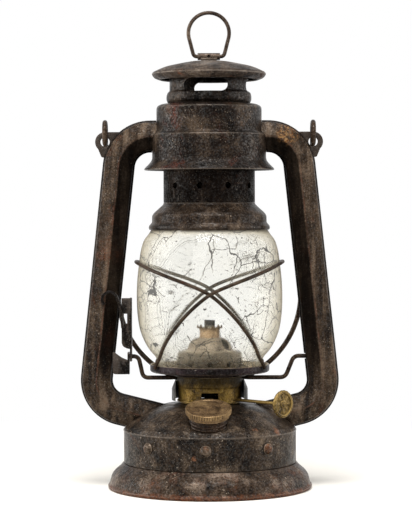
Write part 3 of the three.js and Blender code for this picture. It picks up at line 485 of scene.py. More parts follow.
# Old metal: blotches, grain, streaks that run down, rust, pale specks, dark pits, and bare metal along the edges
def oldMetal(name, changes):
    look = {**plainMetal, **changes}
    recipe = Recipe(bpy.data.materials.new(name))
    noise, step, mix = recipe.noise, recipe.step, recipe.mix
    tones, level, wear = look["tones"].split(), recipe.axis("Z"), recipe.attribute("wear")
    streaks = noise(240, 4, 0.5, place=recipe.stretched((1, 1, 0.09)))
    grain = noise(950, 4, 0.7, place=recipe.stretched((1, 1, 1), (0.7, 0.2, 0.4)))
    fine = (streaks - 0.5) * look["streaks"] + (grain - 0.5) * look["grain"]
    base = recipe.ramp(noise(look["blotch"], 8, 0.72, 0.4) + fine, look["spread"], tones)
    rustNoise = noise(look["rustScale"], 10, 0.68, 0.6, recipe.stretched((1, 1, 0.8), (0.31, 0.17, 0.05)))
    rust = step(rustNoise, *look["rustFrom"], 0, look["rustShare"])
    finish = mix(rust, base, mix(step(noise(900, 3), 0.45, 0.7), *look["rust"].split()))
    pits = step(noise(620, 5, 0.6), 0.30, 0.40, 0.55, 0)
    finish = mix(pits, finish, tones[0])
    specks = (step(noise(look["speckScale"], 2, 0.5), *look["speckFrom"], 0, look["speckShare"])
              * step(noise(90, 3), 0.38, 0.62))
    finish = mix(specks, finish, look["speck"])
    ragged = (noise(260, 6, 0.65) - 0.5) * 1.1
    worn = step(wear + ragged, *look["wornFrom"], 0, look["wornShare"]) * step(wear, 0.03, 0.2)
    finish = mix(worn, finish, look["worn"])
    glint = step(noise(800, 5, 0.8), 0.46, 0.66, *look["gloss"])
    # painted shade on a tube's side that faces the globe, which also loses its sheen there
    if look["lee"]:
        paintedLeeShade, finish = paintedShadeOnLee(recipe, finish)
        glint = glint * (1 - paintedLeeShade)
    for spot in look["spots"]:   # small spots of bright rust
        near = recipe.near(*spot)
        share = step(near * 0.5 + noise(420, 6, 0.8) * 1.3, 0.92, 1.08, 0, 0.8) * step(near, 0, 0.3)
        finish = mix(share, finish, look["rust"].split()[1])
    if look["foot"]:   # rust below a level
        low, high, share = look["foot"]
        rim = level + (noise(180, 6, 0.7) - 0.5) * unevenRim
        finish = mix(step(rim, high, low, 0, share), finish, mix(step(noise(700, 4), 0.4, 0.62), *footRust))
    if look["upper"]:   # soot above a level on the crown's tip; on the drum, painted shade under the globe plate
        low, high, sootAndShade, share = look["upper"]
        rim = level + (noise(160, 5) - 0.5) * unevenRim
        finish = mix(step(rim, low, high, 0, share), finish, sootAndShade)
    if look["inside"]:   # the inner face keeps another tone
        tan = recipe.ramp(noise(120, 7, 0.7) + grain * 0.2, (0.45, 0.62, 0.78), look["inside"].split())
        finish = mix(step(recipe.attribute("outside"), 0.6, 0.4), finish, tan)
    relief = noise(420, 6, 0.6) * 0.5 + (rust * 0.35 + pits * -0.5) + grain * 0.3
    recipe.shade({
        "Base Color": finish,
        "Roughness": step(noise(130, 6, 0.6), 0.35, 0.65, *look["roughness"]) + rust * 0.22 - worn * 0.12,
        "Specular IOR Level": glint + worn * 0.3,
        "Metallic": recipe.math("ADD", look["metallic"] - rust * look["metallic"], worn * 0.3, clamp=True),
        "Normal": recipe.bump(relief, look["bump"], Normal=recipe.bump(noise(38, 3, 0.5), look["bump"] * 6, 0.5))})
    return recipe.owner


metalLooks = {
    "blackPaint": {},
    # tubePaint: lee=True paints shade on the side of each tube that faces the globe
    "tubePaint": dict(tones="130e0a 32281f 5a4c3f", spread=(0.30, 0.52, 0.76), rustFrom=(0.57, 0.70), rustShare=0.5,
                      streaks=1.1, grain=0.7, wornShare=0.1, worn="4a3f36", lee=True),
    "platePaint": dict(tones="060403 15110e 2a221c", worn="453b33", wornShare=0.5),
    "collarPaint": dict(tones="060403 1c1510 483c31", rust="3f2119 6e3526", rustFrom=(0.55, 0.70), rustShare=0.5),
    "fountPaint": dict(tones="060403 2d241c 645648", rust="40291d 6b4630", speckShare=0.75, speckScale=1000,
                       wornFrom=(0.5, 1.0), gloss=(0.05, 0.5),
                       spots=(((28, -43, 41), 5), ((40, -33, 38), 6), ((-10, -53, 24), 4))),
    "rustySkirt": dict(tones="060403 352a21 74665a", foot=(0.0012, 0.0042, 0.6), rust="3f281d 68432d",
                       rustFrom=(0.50, 0.66), rustShare=0.55, speckShare=0.85, speckScale=1000),
    "chimneyPaint": dict(tones="060403 120d0a 2a211a", rustShare=0.4, roughness=(0.32, 0.52), gloss=(0.0, 0.2),
                         wornShare=0.3, speckShare=0.25),
    "bellPaint": dict(tones="060403 261d16 55483c", rustShare=0.4),
    "wornPlate": dict(tones="060403 1c1517 30262a", worn="5a4c42", wornFrom=(0.45, 0.9), inside="33281a 77654a a6967a"),
    "wireBrown": dict(tones="17110e 2e2319 4a3d32", blotch=90, speckShare=0.4, rustFrom=(0.57, 0.70), worn="5c4f45"),
    "rivetSteel": dict(tones="060403 453a30 85776a", rust="543322 865530", rustFrom=(0.50, 0.64), rustShare=0.5,
                       rustScale=160, worn="8a7a6a"),
    "hoodTopPaint": dict(tones="060403 3a3029 6a5f54", rustFrom=(0.58, 0.66), worn="8a7f74", roughness=(0.38, 0.56)),
    "ringSteel": dict(tones="1f1814 3b3028 5c5045", blotch=120, metallic=0.3, worn="70665b"),
    # drumBrass: its dark band above 60 to 66 mm is painted shade under the globe plate
    "drumBrass": dict(tones="171108 6a5428 987f42", rust="2a1e0c 463417", rustFrom=(0.52, 0.66), speck="a8915c",
                      worn="8a7444", metallic=0.5, roughness=(0.34, 0.54), bump=0.1,
                      upper=(0.0600, 0.0660, "15110b", 0.85)),
    "basketBrass": dict(tones="241f19 453d32 655a4c", rust="352c22 4c4030", speck="9c907a", worn="7c715c",
                        metallic=0.3, bump=0.1),
    "domeBronze": dict(tones="3c342a 6f6455 948874", rust="5c4d38 7a6648", speck="2c2620", speckShare=0.8,
                       worn="a89c84", metallic=0.25, bump=0.1),
    "neckBronze": dict(tones="5c4731 9c8262 bda17e", rust="6a4e34 8a6844", speck="2e241a", worn="b8a284",
                       metallic=0.25, bump=0.1, upper=(0.0965, 0.1000, "1e1812", 0.85)),
    "guardGrey": dict(tones="14110e 2c2823 58534a", metallic=0.25, worn="6a645a", wornShare=0.3, grain=0.8),
    "capBronze": dict(tones="1f170f 5a4733 87704f", rust="2e1f16 4a3324", speck="a8926c", worn="8a7048",
                      metallic=0.35, roughness=(0.32, 0.5), bump=0.1),
    "neckDark": dict(tones="100b08 1f150e 35261b", rust="22160f 3c2a1c", worn="52402f", metallic=0.3, bump=0.08),
    "knobBrass": dict(tones="261d10 5f4d2a 8a7448", rust="3c2c12 5a441e", speck="b09a64", worn="a88c50",
                      metallic=0.45, roughness=(0.34, 0.5), bump=0.08),
}

# Glass: clear, with dark cracks of three sizes, fine specks and a film of dirt on its outer face alone
globeLook = {"glass": "fbfbf8 f3f3ec", "ior": 1.03, "coatIor": 1.45, "coatRoughness": 0.05, "coatShare": 0.6,
             "clear": 0.5, "roughness": 0.015, "shadow": 0.9, "crack": "17130f", "warp": 0.009,
             "cracks": ((26, 0.008, 0.49, 0.52), (52, 0.014, 0.54, 0.57), (110, 0.028, 0.60, 0.63)),
             "film": "cfc9b6", "filmShare": (0.02, 0.16), "filmRoughness": 0.6, "edge": "837a65", "edgeShare": 0.95,
             "speckScale": 700, "sootAndShade": "544c3e", "sootAndShadeFrom": (0.1545, 0.1590, 0, 0.85),
             "sides": (0.022, 0.042, 0, 0.11), "low": (0.100, 0.080, 0, 0.10)}


# Lines along the borders of bent cells, where a noise lies above a level; the bias brings more of them
def crackLines(recipe, bias, scale, width, low, high):
    warp = recipe.noise(70, 6, 0.5, output="Color")
    bent = recipe.made("VectorMath", "Vector", {0: warp, 1: [globeLook["warp"]] * 3, 2: recipe.place},
                       operation="MULTIPLY_ADD")
    edges = recipe.voronoi(scale, "DISTANCE_TO_EDGE", bent)
    return recipe.step(edges, width, width * 0.5) * recipe.step(recipe.noise(scale * 0.9, 3, 0.6) + bias, low, high)


def crackedGlass(name):
    recipe, look = Recipe(bpy.data.materials.new(name)), globeLook
    noise, step, mix = recipe.noise, recipe.step, recipe.mix
    bias = recipe.most(step(recipe.math("ABSOLUTE", recipe.axis("X")), *look["sides"]),
                       step(recipe.axis("Z"), *look["low"]))
    specks = step(noise(look["speckScale"], 3, 0.6), 0.62, 0.65) * step(noise(46, 5) + bias, 0.42, 0.60)
    marks = recipe.most(*(crackLines(recipe, bias, *size) for size in look["cracks"]), specks)
    towardsEdge = step(recipe.made("LayerWeight", "Facing", {"Blend": 0.3}), 0.06, 0.88, 0, look["edgeShare"])
    cloud = step(noise(24, 7, 0.65), 0.35, 0.75, *look["filmShare"])
    under = step(recipe.axis("Z"), *look["sootAndShadeFrom"]) * step(noise(60, 5), 0.3, 0.5)
    film = recipe.math("ADD", cloud, towardsEdge + under, clamp=True)
    filmColour = mix(under, mix(towardsEdge, look["film"], look["edge"]), look["sootAndShade"])
    dirt = recipe.made("BsdfPrincipled", 0, {"Base Color": mix(marks, filmColour, look["crack"]),
                                             "Roughness": look["filmRoughness"]})
    outside = step(recipe.attribute("outside"), 0.4, 0.6)
    pane = recipe.shade({
        "Base Color": mix(noise(30, 4), *look["glass"].split()), "Transmission Weight": 1, "IOR": look["ior"],
        "Roughness": look["roughness"], "Coat IOR": look["coatIor"], "Coat Roughness": look["coatRoughness"],
        "Coat Weight": outside * look["coatShare"], "Normal": recipe.bump(noise(22, 3), 0.2, 0.35)})
    clear = recipe.made("BsdfTransparent")
    thin = recipe.blend(look["clear"], pane, clear)   # part of the light passes unbent, as through a thin pane
    dirty = recipe.blend(recipe.most(film, marks * 0.9) * outside, thin, dirt)
    recipe.surface(recipe.blend(recipe.made("LightPath", "Is Shadow Ray") * look["shadow"], dirty, clear))
    return recipe.owner


# Wick cotton: oily low down, charred at its tip
wickLook = {"cotton": "7d735e c6bb9f", "oil": "2e2618", "oilFrom": (0.080, 0.070), "char": "16120f",
            "charFrom": (0.0965, 0.1005), "roughness": 0.95}
corkLook = {"cork": "4a3524 8a6a48", "roughness": 0.9}


def wovenCotton(name):
    recipe, look = Recipe(bpy.data.materials.new(name)), wickLook
    level, along = recipe.axis("Z"), recipe.noise(700, 3, 0.5, place=recipe.stretched((1, 1, 2.2)))
    cotton = recipe.ramp(along, (0.3, 0.7), look["cotton"].split())
    used = recipe.mix(recipe.step(level, *look["oilFrom"]), cotton, look["oil"])
    recipe.shade({"Base Color": recipe.mix(recipe.step(level, *look["charFrom"]), used, look["char"]),
                  "Roughness": look["roughness"], "Normal": recipe.bump(along, 0.15)})
    return recipe.owner


def corkRing(name):
    recipe = Recipe(bpy.data.materials.new(name))
    grain = recipe.voronoi(900)
    recipe.shade({"Base Color": recipe.ramp(grain, (0.1, 0.6), corkLook["cork"].split()),
                  "Roughness": corkLook["roughness"], "Normal": recipe.bump(grain, 0.1)})
    return recipe.owner


paints.update({name: oldMetal(name, look) for name, look in metalLooks.items()})
paints.update(globeGlass=crackedGlass("globeGlass"), cottonWick=wovenCotton("cottonWick"), cork=corkRing("cork"))
print("materials mixed")


# Base skirt: rolled foot, flared wall and ledge
skirt = {"radius": 62.8, "band": 53, "footWidth": 2.9, "ledge": 6, "wall": 1.0,
         "flare": [[.93, 0], [1, .07], [1, .14], [.90, .195], [.865, .27], [.765, .53], [.58, .69], [.22, .87],
                   [.05, 1]],
         "reach": [.4, .6, .7, .7, .5, 1.5, 4, 4, .8, .5, .4]}


def baseSkirt():
    foot, top = levels("base_skirt")
    line = np.vstack([[skirt["radius"] - skirt["footWidth"], foot],
                      between(skirt["flare"], (skirt["band"], skirt["radius"]), (foot, top)),
                      [skirt["band"] - skirt["ledge"], top]])
    return turned("baseSkirt", sheetOutline(line, skirt["wall"], skirt["reach"]), 160)


finished(baseSkirt(), "rustySkirt", "frame", "base_skirt", 1.2)

# Fount: band and dome, a little dented
fount = {"radius": 53, "hole": 17, "wall": 1.0, "bandHeight": 20, "bead": .25,
         "dome": [[1, 0], [.965, .2], [.89, .37], [.79, .58], [.68, .81], [.54, .94], [.36, 1]],
         "reach": [.4, .3, .3, .3, .3, .9, 6, 6, 6, .8, 6, .4], "dentsFrom": 30,
         "dents": [(-30, -34, 42, 9, 0.8), (14, -44, 41, 7, 0.6), (26, -28, 46, 8, 0.7), (-8, -38, 48, 10, 0.5),
                   (38, 20, 44, 10, 0.8), (-36, 26, 43, 8, 0.6), (-12, 46, 40, 9, 0.5)]}


# Each dent pulls the points near it towards the axis and down by depth e^(-(distance / width)^2)
def dented(points):
    for x, y, z, width, depth in fount["dents"]:
        away = np.linalg.norm(points - np.array([x, y, z]), axis=-1, keepdims=True)
        points = points - unit(np.array([x, y, fount["dentsFrom"]])) * depth * np.exp(-(away / width) ** 2)
    return points


def fountLine():
    foot, top = levels("fount_shell")
    domeFoot = foot + fount["bandHeight"]
    r, out = fount["radius"], fount["bead"]
    bead = [[r, domeFoot - .9], [r + out, domeFoot - .5], [r + out, domeFoot + .1], [r - .1, domeFoot + .5]]
    return np.vstack([[r, foot], bead, between(fount["dome"], (0, r), (domeFoot, top))[1:], [fount["hole"], top]])


filler = {"place": (-0.9, -40.3, 42.501), "tilt": 18, "hole": 11.5, "holeEnds": (-7, 12.3)}


# Points made round the Z axis, put on the filler's own leaning axis
def onFiller(points):
    x, y, z = np.moveaxis(points, -1, 0)
    return np.stack([x, *spun(y, z, filler["tilt"])], -1) + np.array(filler["place"])


def fountShell():
    hole = rod("fillerHole", filler["hole"], *onFiller(np.array([[0, 0, z] for z in filler["holeEnds"]])), sides=64)
    outline = sheetOutline(fountLine(), fount["wall"], fount["reach"])
    return combined(turned("fountShell", outline, 160, shape=dented), [hole])


finished(fountShell(), "fountPaint", "frame", "fount_shell", 1.4)

# Rivets at the front and back of the band, with flattened heads
rivets = {"turns": (-44.3, -3, 40.5, 135.7, 177, 220.5), "level": 28.4, "shank": 1.2, "tail": 2.2,
          "head": [[1.2, .12], [3.5, .12], [3.36, .55], [2.59, 1.5], [1.4, 2.28], [0, 2.4]],
          "reach": [.1, .3, .1, .15, .8, 1, 1, .1]}


# Points made round the Z axis, laid over so that +Z points out of the front at an angle
def laidOut(points, degrees, level, out=0.0):
    x, y, z = np.moveaxis(points, -1, 0)
    return np.stack([*spun(x, -(z + out), degrees), y + level], -1)


# The two ends of a cutter that runs out from the axis
def outward(first, last, degrees, level):
    return laidOut(np.array([[0, 0, first], [0, 0, last]], float), degrees, level)


def rivet(number, angle):
    line = np.vstack([[0, -rivets["tail"]], [rivets["shank"], -rivets["tail"]], rivets["head"]])
    return turned(f"bandRivet{number}", soften(line, rivets["reach"]), 32, loop=False,
                  shape=lambda points: laidOut(points, angle, rivets["level"], fount["radius"]))


for number, angle in enumerate(rivets["turns"], 1):
    finished(rivet(number, angle), "rivetSteel", "frame", f"band_rivet_{number}", 1.6)

# Filler: neck with its thread, gasket and knurled cap
neck = {"radius": 11, "thread": 11.4, "bore": 9.4, "tail": -3, "rise": 8.3, "first": .6, "pitch": 2, "threads": 4}
cap = {"radius": 13.8, "skirt": 12.85, "low": 6.46, "band": 8.46, "high": 11.46, "inside": 10.16, "bore": 11.6,
       "dish": 11.6, "dishDepth": .5, "crown": .3, "knurls": 54, "knurlDepth": .5}
gasket = {"low": 8.63, "high": 9.83, "soft": .25}


def fillerGasket():
    line = band(neck["bore"], neck["radius"], gasket["low"], gasket["high"])
    return turned("fillerGasket", soften(line, gasket["soft"], 4, loop=True), 64, shape=onFiller)


def fillerNeck():
    rise = np.arange(neck["threads"]) * neck["pitch"] + neck["first"]
    thread = np.stack([np.tile([neck["radius"], neck["thread"], neck["radius"]], neck["threads"]),
                       (rise[:, None] + np.array([0, .35, .7])).ravel()], 1)
    tube = band(neck["bore"], neck["radius"], neck["tail"], neck["rise"])
    line = np.vstack([tube[:2], thread, tube[2:]])
    return turned("fillerNeck", soften(line, .15, 3, loop=True), 64, shape=onFiller)


# Points brought nearer to their axis, and to another level
def narrowed(points, inward, level):
    reach = np.maximum(np.hypot(points[..., 0], points[..., 1]), 1)
    return np.concatenate([points[..., :2] * (1 - inward / reach)[..., None], level[..., None]], -1)


# The rim's radius falls by depth (1 - |cos(n a / 2)|) between two levels, so the ribs are rounded and the grooves sharp
def capKnurls(points):
    angle = np.arctan2(points[..., 0], -points[..., 1])
    reach = np.hypot(points[..., 0], points[..., 1])
    level = points[..., 2]
    ribbed = (reach > cap["radius"] - .6) & (level > cap["band"] + .3) & (level < cap["high"] - .3)
    groove = cap["knurlDepth"] * (1 - np.abs(np.cos(cap["knurls"] * angle / 2))) * ribbed
    return onFiller(narrowed(points, groove, level))


def fillerCap():
    r, low, band, high, floor = cap["radius"], cap["low"], cap["band"], cap["high"], cap["high"] - cap["dishDepth"]
    line = [[0, floor + cap["crown"]], [cap["dish"] * .55, floor + cap["crown"] * .8], [cap["dish"], floor],
            [cap["dish"] + .5, high], [r - .4, high], [r, high - .4], [r, high - .8], [r, (band + high) / 2],
            [r, band + .8], [r, band + .4], [r - .4, band], [cap["skirt"], band], [cap["skirt"], low + .3],
            [cap["skirt"] - .3, low], [cap["bore"], low], [cap["bore"], cap["inside"]], [0, cap["inside"]]]
    reach = [.1, 3, .35, .3, .4, .3, .1, .1, .1, .2, .3, .2, .2, .2, .3, .3, .1]
    return turned("fillerCap", soften(line, reach, 4), 432, loop=False, shape=capKnurls)


finished(fillerNeck(), "neckDark", "frame", "filler_neck")
finished(fillerGasket(), "cork", "gasket", "filler_gasket")
finished(fillerCap(), "capBronze", "cap", "filler_cap", 1.1)
print("tank built")


# Burner
burner = {"hole": 17, "ringInner": 14.57, "ringOuter": 16.67, "flange": 18.4, "flangeRise": 3.83,
          "drum": (19.5, 20.1), "drumShares": [[1, 0], [1, .05], [0, .09], [0, .56], [1, .62], [1, .97], [.6, 1]],
          "drumWindow": (10.4, 55.29, 59.69), "shaftLevel": 54.8, "shaftSide": 4.83, "shaftHole": 1.35,
          "notch": (8, 26, 4), "slit": (5.3, 1.7, 60, 80), "drumSide": (-26, -12),
          "guard": (21.4, 23.4), "guardShares": [[1, 0], [1, .6], [0, 1]], "guardOpening": 42,
          "basket": 19.9, "basketMouth": 13.4, "basketHoles": 10, "basketHole": 1.7, "basketHoleShare": .55,
          "basketHoleEnds": (10, 26), "domeRise": .8, "domeWindowRise": .4, "domeWindowEnds": (6.6, 17),
          "dome": (7.23, 17), "domeShares": [[1, 0], [.68, .06], [.64, .28], [.52, .6], [.3, .86], [0, 1]],
          "domeWindow": 3.5, "domeWindowTurn": 55,
          "crownNeck": 6.1, "crownMouth": 8, "crownFlare": 3.2, "teeth": 12, "toothDepth": 1.6, "turn": -45, "wall": .7}


# Points of the wick works, turned so that their +X runs out to the knob
def onWorks(points):
    x, y, z = np.moveaxis(points, -1, 0)
    return np.stack([*spun(x, y, burner["turn"]), z], -1)


def burnerCollar():
    foot, top = levels("burner_collar")
    step = foot + burner["flangeRise"] - 1
    line = [[burner["ringInner"], foot], [burner["ringOuter"], foot], [burner["ringOuter"], step],
            [burner["flange"], step], [burner["flange"], top], [burner["ringInner"], top]]
    return turned("burnerCollar", soften(line, .3, 4, loop=True), 96)


def burnerDrum():
    foot, top = levels("burner_drum", below=seam)
    line = np.vstack([between(burner["drumShares"], burner["drum"], (foot, top)), [0, top]])
    piece = turned("burnerDrum", soften(closedOutline(line, burner["wall"]), .45, 4), 120, loop=False)
    side, level, hole = burner["shaftSide"], burner["shaftLevel"], burner["shaftHole"]
    width, low, high = burner["drumWindow"]
    near, far, drop = burner["notch"]
    long, half, slitLow, slitHigh = burner["slit"]
    front, back = burner["drumSide"]
    return combined(piece, [
        rod("shaftHole", hole, *onWorks(np.array([[near, side, level], [far, side, level]]))),
        brick("notch", (near, side - hole, level - drop), (far, side + hole, level), onWorks),
        brick("airWindow", (-width / 2, front, low), (width / 2, back, high)),
        brick("slit", (-long, -half, slitLow), (long, half, slitHigh), onWorks)])


def burnerGuard():
    foot, top = levels("burner_guard")
    line = between(burner["guardShares"], burner["guard"], (foot, top))
    opening = brick("opening", (-burner["guardOpening"] / 2, -40, foot - 3), (burner["guardOpening"] / 2, 0, top + 3))
    return combined(turned("burnerGuard", sheetOutline(line, burner["wall"], [.3, .5, .3], 4), 120), [opening])


def burnerBasket():
    foot, top = levels("burner_basket", below=seam, above=seam)
    line = [[burner["basket"], foot], [burner["basket"], top], [burner["basketMouth"], top]]
    piece = turned("burnerBasket", sheetOutline(line, burner["wall"], [.3, .7, .3], 4), 120)
    level = foot + (top - foot) * burner["basketHoleShare"]
    return combined(piece, [
        rod("hole", burner["basketHole"], *outward(*burner["basketHoleEnds"], turn, level), sides=24)
        for turn in np.arange(burner["basketHoles"]) * 360 / burner["basketHoles"]])


def burnerDome():
    foot, top = levels("burner_dome")
    line = between(burner["domeShares"], burner["dome"], (foot + burner["domeRise"], top))
    piece = turned("burnerDome", sheetOutline(line, burner["wall"], [.3, .8, .8, 2, 2, .3], 5), 120)
    ends = outward(*burner["domeWindowEnds"], burner["domeWindowTurn"], (foot + top) / 2 + burner["domeWindowRise"])
    return combined(piece, [rod("domeWindow", burner["domeWindow"], *ends)])


# Teeth: above the flare's foot a level z drops by depth w(a), with w a wave of one steep notch for each tooth
def burnerCrown():
    foot, top = levels("burner_crown")
    flareFoot = top - burner["crownFlare"]
    line = np.vstack([[burner["crownNeck"], foot], [burner["crownNeck"], flareFoot],
                      between([[.35, .45], [1, 1]], (burner["crownNeck"], burner["crownMouth"]), (flareFoot, top))])

    def toothed(points):
        angle = np.arctan2(points[..., 0], -points[..., 1])
        notch = np.clip(1.6 * np.abs(np.cos(burner["teeth"] * angle / 2)) - .35, 0, 1) ** 1.2
        share = np.clip((points[..., 2] - flareFoot - 1.6) / (burner["crownFlare"] - 1.6), 0, 1)
        drop = burner["toothDepth"] * notch * share
        return narrowed(points, 0, points[..., 2] - drop)

    return turned("burnerCrown", sheetOutline(line, .5, [.2, 1, 1, .2], 5), 288, shape=toothed)


finished(burnerCollar(), "drumBrass", "frame", "burner_collar")
finished(burnerDrum(), "drumBrass", "frame", "burner_drum")
finished(burnerGuard(), "guardGrey", "frame", "burner_guard")
finished(burnerBasket(), "basketBrass", "frame", "burner_basket")
finished(burnerDome(), "domeBronze", "frame", "burner_dome")
finished(burnerCrown(), "neckBronze", "frame", "burner_crown")

# Wick works: a flat woven wick, its shaft and the knob with a rosette
wick = {"width": 9, "thick": 1.8, "ribs": 14, "ribDepth": .12, "across": 85, "along": 90}
knob = {"reach": 56.9, "radius": 8.4, "thick": 2.2, "rim": 2, "dish": 1, "boss": 2.4, "hub": 2.6, "hubLength": 3,
        "scallops": 22, "scallopDepth": .28, "petals": 8, "petalRise": .32, "shaft": 1, "tail": -9}


# Wick: a flat ring round the strip, whose face falls by ribs d (1 - cos n u) across the width
def wickStrip():
    foot, top = levels("wick")
    u = np.linspace(-1, 1, wick["across"])
    rib = wick["ribDepth"] * (.5 - .5 * np.cos(np.pi * wick["ribs"] * u))
    half = wick["thick"] / 2 * (1 - .9 * np.abs(u) ** 8) - rib
    ring = np.stack([wick["width"] / 2 * np.append(u, u[::-1]), np.append(half, -half[::-1])], 1)
    points = [np.insert(ring, 2, z, axis=1) for z in np.linspace(foot, top, wick["along"])]
    return meshPiece("wickStrip", onWorks(np.stack(points)), capped(len(points), len(ring)))


# Points made round the Z axis, laid along the wick shaft
def onShaft(points):
    x, y, z = np.moveaxis(points, -1, 0)
    return onWorks(np.stack([z, y + burner["shaftSide"], -x + burner["shaftLevel"]], -1))


# Rim scalloped by depth |sin(n a / 2)|; in the dish, petals rise by h cos^2(m a / 2) sin(pi share of the way out)
def knobRelief(points):
    angle = np.arctan2(points[..., 1], points[..., 0])
    reach = np.hypot(points[..., 0], points[..., 1])
    level = points[..., 2]
    rim = knob["scallopDepth"] * (1 - np.abs(np.sin(knob["scallops"] * angle / 2))) * (reach > knob["radius"] - .3)
    out = np.clip((reach - knob["boss"]) / (knob["radius"] - knob["rim"] - knob["boss"]), 0, 1)
    petal = knob["petalRise"] * np.cos(knob["petals"] * angle / 2) ** 2 * np.sin(np.pi * out) ** .8
    onFace = level > knob["reach"] + knob["thick"] / 2 - knob["dish"] - .3
    return onShaft(narrowed(points, rim, level + petal * onFace))


def wickKnob():
    back, face = knob["reach"] - knob["thick"] / 2, knob["reach"] + knob["thick"] / 2
    inner, r, boss = knob["radius"] - knob["rim"], knob["radius"], knob["boss"]
    dish = np.linspace(inner - .3, boss + .3, 14)
    line = np.vstack([
        [0, back - knob["hubLength"]], [knob["hub"], back - knob["hubLength"]], [knob["hub"], back - .2],
        [knob["hub"] + .3, back], [r - .7, back], [r, back + .7], [r, face - .7], [r - .7, face], [inner + .3, face],
        [inner, face - .4], [inner - .2, face - knob["dish"]],
        np.stack([dish, np.full(14, face - knob["dish"])], 1), [boss, face - knob["dish"]], [boss * .9, face - .35],
        [boss * .5, face - .08], [0, face]])
    return turned("wickKnob", soften(line, .28, 3), 264, loop=False, shape=knobRelief)


def wickShaft():
    line = band(0, knob["shaft"], knob["tail"], knob["reach"] - knob["hubLength"])
    return turned("wickShaft", soften(line, .3, 4), 24, loop=False, shape=onShaft)


finished(wickStrip(), "cottonWick", "wick_strip", "wick")
finished(wickShaft(), "knobBrass", "wick_knob_set", "wick_shaft")
finished(wickKnob(), "knobBrass", "wick_knob_set", "wick_knob", 1.0)
print("burner built")


# Globe and its plate
plate = {"hole": 20.6, "radius": 36.7, "wall": 1.0,
         "shares": [[0, 0], [.17, 0], [.22, .15], [.93, .3], [1, .42], [1, 1]], "reach": [.3, .6, .6, .9, .9, .3]}
globe = {"radius": 44.9, "wall": 1.8,
         "shares": [[.686, 0], [.733, .086], [.815, .1247], [.898, .1886], [.959, .2662], [.991, .3687], [1, .4848],
                    [.989, .601], [.944, .7747], [.898, .8479], [.822, .8888], [.758, .9513], [.744, 1]]}


def globePlate():
    line = between(plate["shares"], (plate["hole"], plate["radius"]), levels("globe_plate"))
    return turned("globePlate", sheetOutline(line, plate["wall"], plate["reach"]), 144)


def globeShell():
    line = between(globe["shares"], (0, globe["radius"]), levels("globe"))
    return turned("globeShell", sheetOutline(line, globe["wall"], 8, 6), 160)


# 1 on the outer face and 0 on the inner: the sign of the normal n along the line out from the axis, less its rise
def markOutside(mesh, rise=0.0):
    place, normal = vertexData(mesh, "co"), vertexData(mesh, "normal")
    out = (place[:, :2] * normal[:, :2]).sum(1) / np.maximum(np.linalg.norm(place[:, :2], axis=1), 1e-6)
    mark(mesh, "outside", out - rise * normal[:, 2] > 0)


markOutside(finished(globePlate(), "wornPlate", "globe_carrier", "globe_plate", 1.3), 1.0)
markOutside(finished(globeShell(), "globeGlass", "globe_carrier", "globe"))

# Guard wires: each crosses the front, bends round one side and crosses the back
guard = {"wire": 1.1, "standOff": 1.2, "crossing": 2.53, "footTurn": 60, "footDrop": 2, "footReach": 38.13,
         "track": [[-90, .7063], [-75, .7005], [-52, .6634], [-31.4, .6166], [-15, .5707], [0, .5151], [14.8, .4019],
                   [27, .2887], [40.4, .1774], [52, .0945]]}


def guardWire(name, side):
    foot, top = levels("globe")
    track = np.array(guard["track"])
    level = foot + (top - foot) * track[:, 1]
    line = between(globe["shares"], (0, globe["radius"]), (foot, top))
    reach = np.maximum(np.interp(level, line[:, 1], line[:, 0]) + guard["standOff"] + guard["wire"], guard["footReach"])
    over = guard["crossing"] * np.cos(np.radians(track[:, 0])) ** 4 if side > 0 else 0
    plateRim = levels("globe_plate")[1]
    turn = np.radians(np.concatenate([track[:, 0], [guard["footTurn"]] * 2]))
    reach = np.concatenate([reach + over, [guard["footReach"]] * 2])
    level = np.concatenate([level, [plateRim, plateRim - guard["footDrop"]]])
    front = np.stack([reach * np.sin(turn), -reach * np.cos(turn), level], 1)
    path = np.vstack([front[::-1], front[1:] * [1, -1, 1]])
    if side > 0:
        path = path * [-1, 1, 1]
    return wire(name, soften(path, 30, 6), guard["wire"])


for word, side in (("Left", -1), ("Right", 1)):
    finished(guardWire(f"guardWire{word}", side), "wireBrown", "globe_carrier", f"globe_guard_{word.lower()}",
             .4)
print("globe built")


# Chimney: bell, tube with holes, sleeve, slotted gallery, hood and ring bracket
chimney = {
    "bell": (28.1, 37.3), "bellShares": [[.94, 0], [1, .07], [.98, .15], [.78, .28], [.77, .52], [.65, .63], [.36, .77],
                                         [.03, .94], [0, 1]],
    "bellReach": [.3, .8, .8, .6, .7, 3, 4, 1.5, .3],
    "tube": 28.1, "tubeRound": 1, "flange": 23.4, "holes": 10, "hole": 1.95, "holeRise": 10.6, "holeFirst": -12,
    "holeEnds": (20, 34), "slotEnds": (9, 34), "hoodWall": 1.0,
    "sleeve": 24.2, "bead": 26.1, "galleryShares": [[.5, 0], [1, .08], [1, .2], [.65, .29], [0, .34], [0, 1]],
    "galleryReach": [.3, 1, 1, .5, .5, .3], "slotFoot": 6.5, "slotHeight": 7.8,
    "slots": [[-5.8, 67], [91, 44], [170, 64], [247, 44]],
    "hood": 35.2, "hoodShares": [[.86, 0], [.96, .11], [1, .31], [.975, .41], [.777, .68], [.34, .95], [.1, 1], [0, 1]],
    "hoodReach": [.3, 1.5, 1, .6, 8, 8, 2, .3], "wall": .8}


def bell():
    line = between(chimney["bellShares"], chimney["bell"], levels("bell", above=seam))
    return turned("bell", sheetOutline(line, chimney["wall"], chimney["bellReach"]), 144)


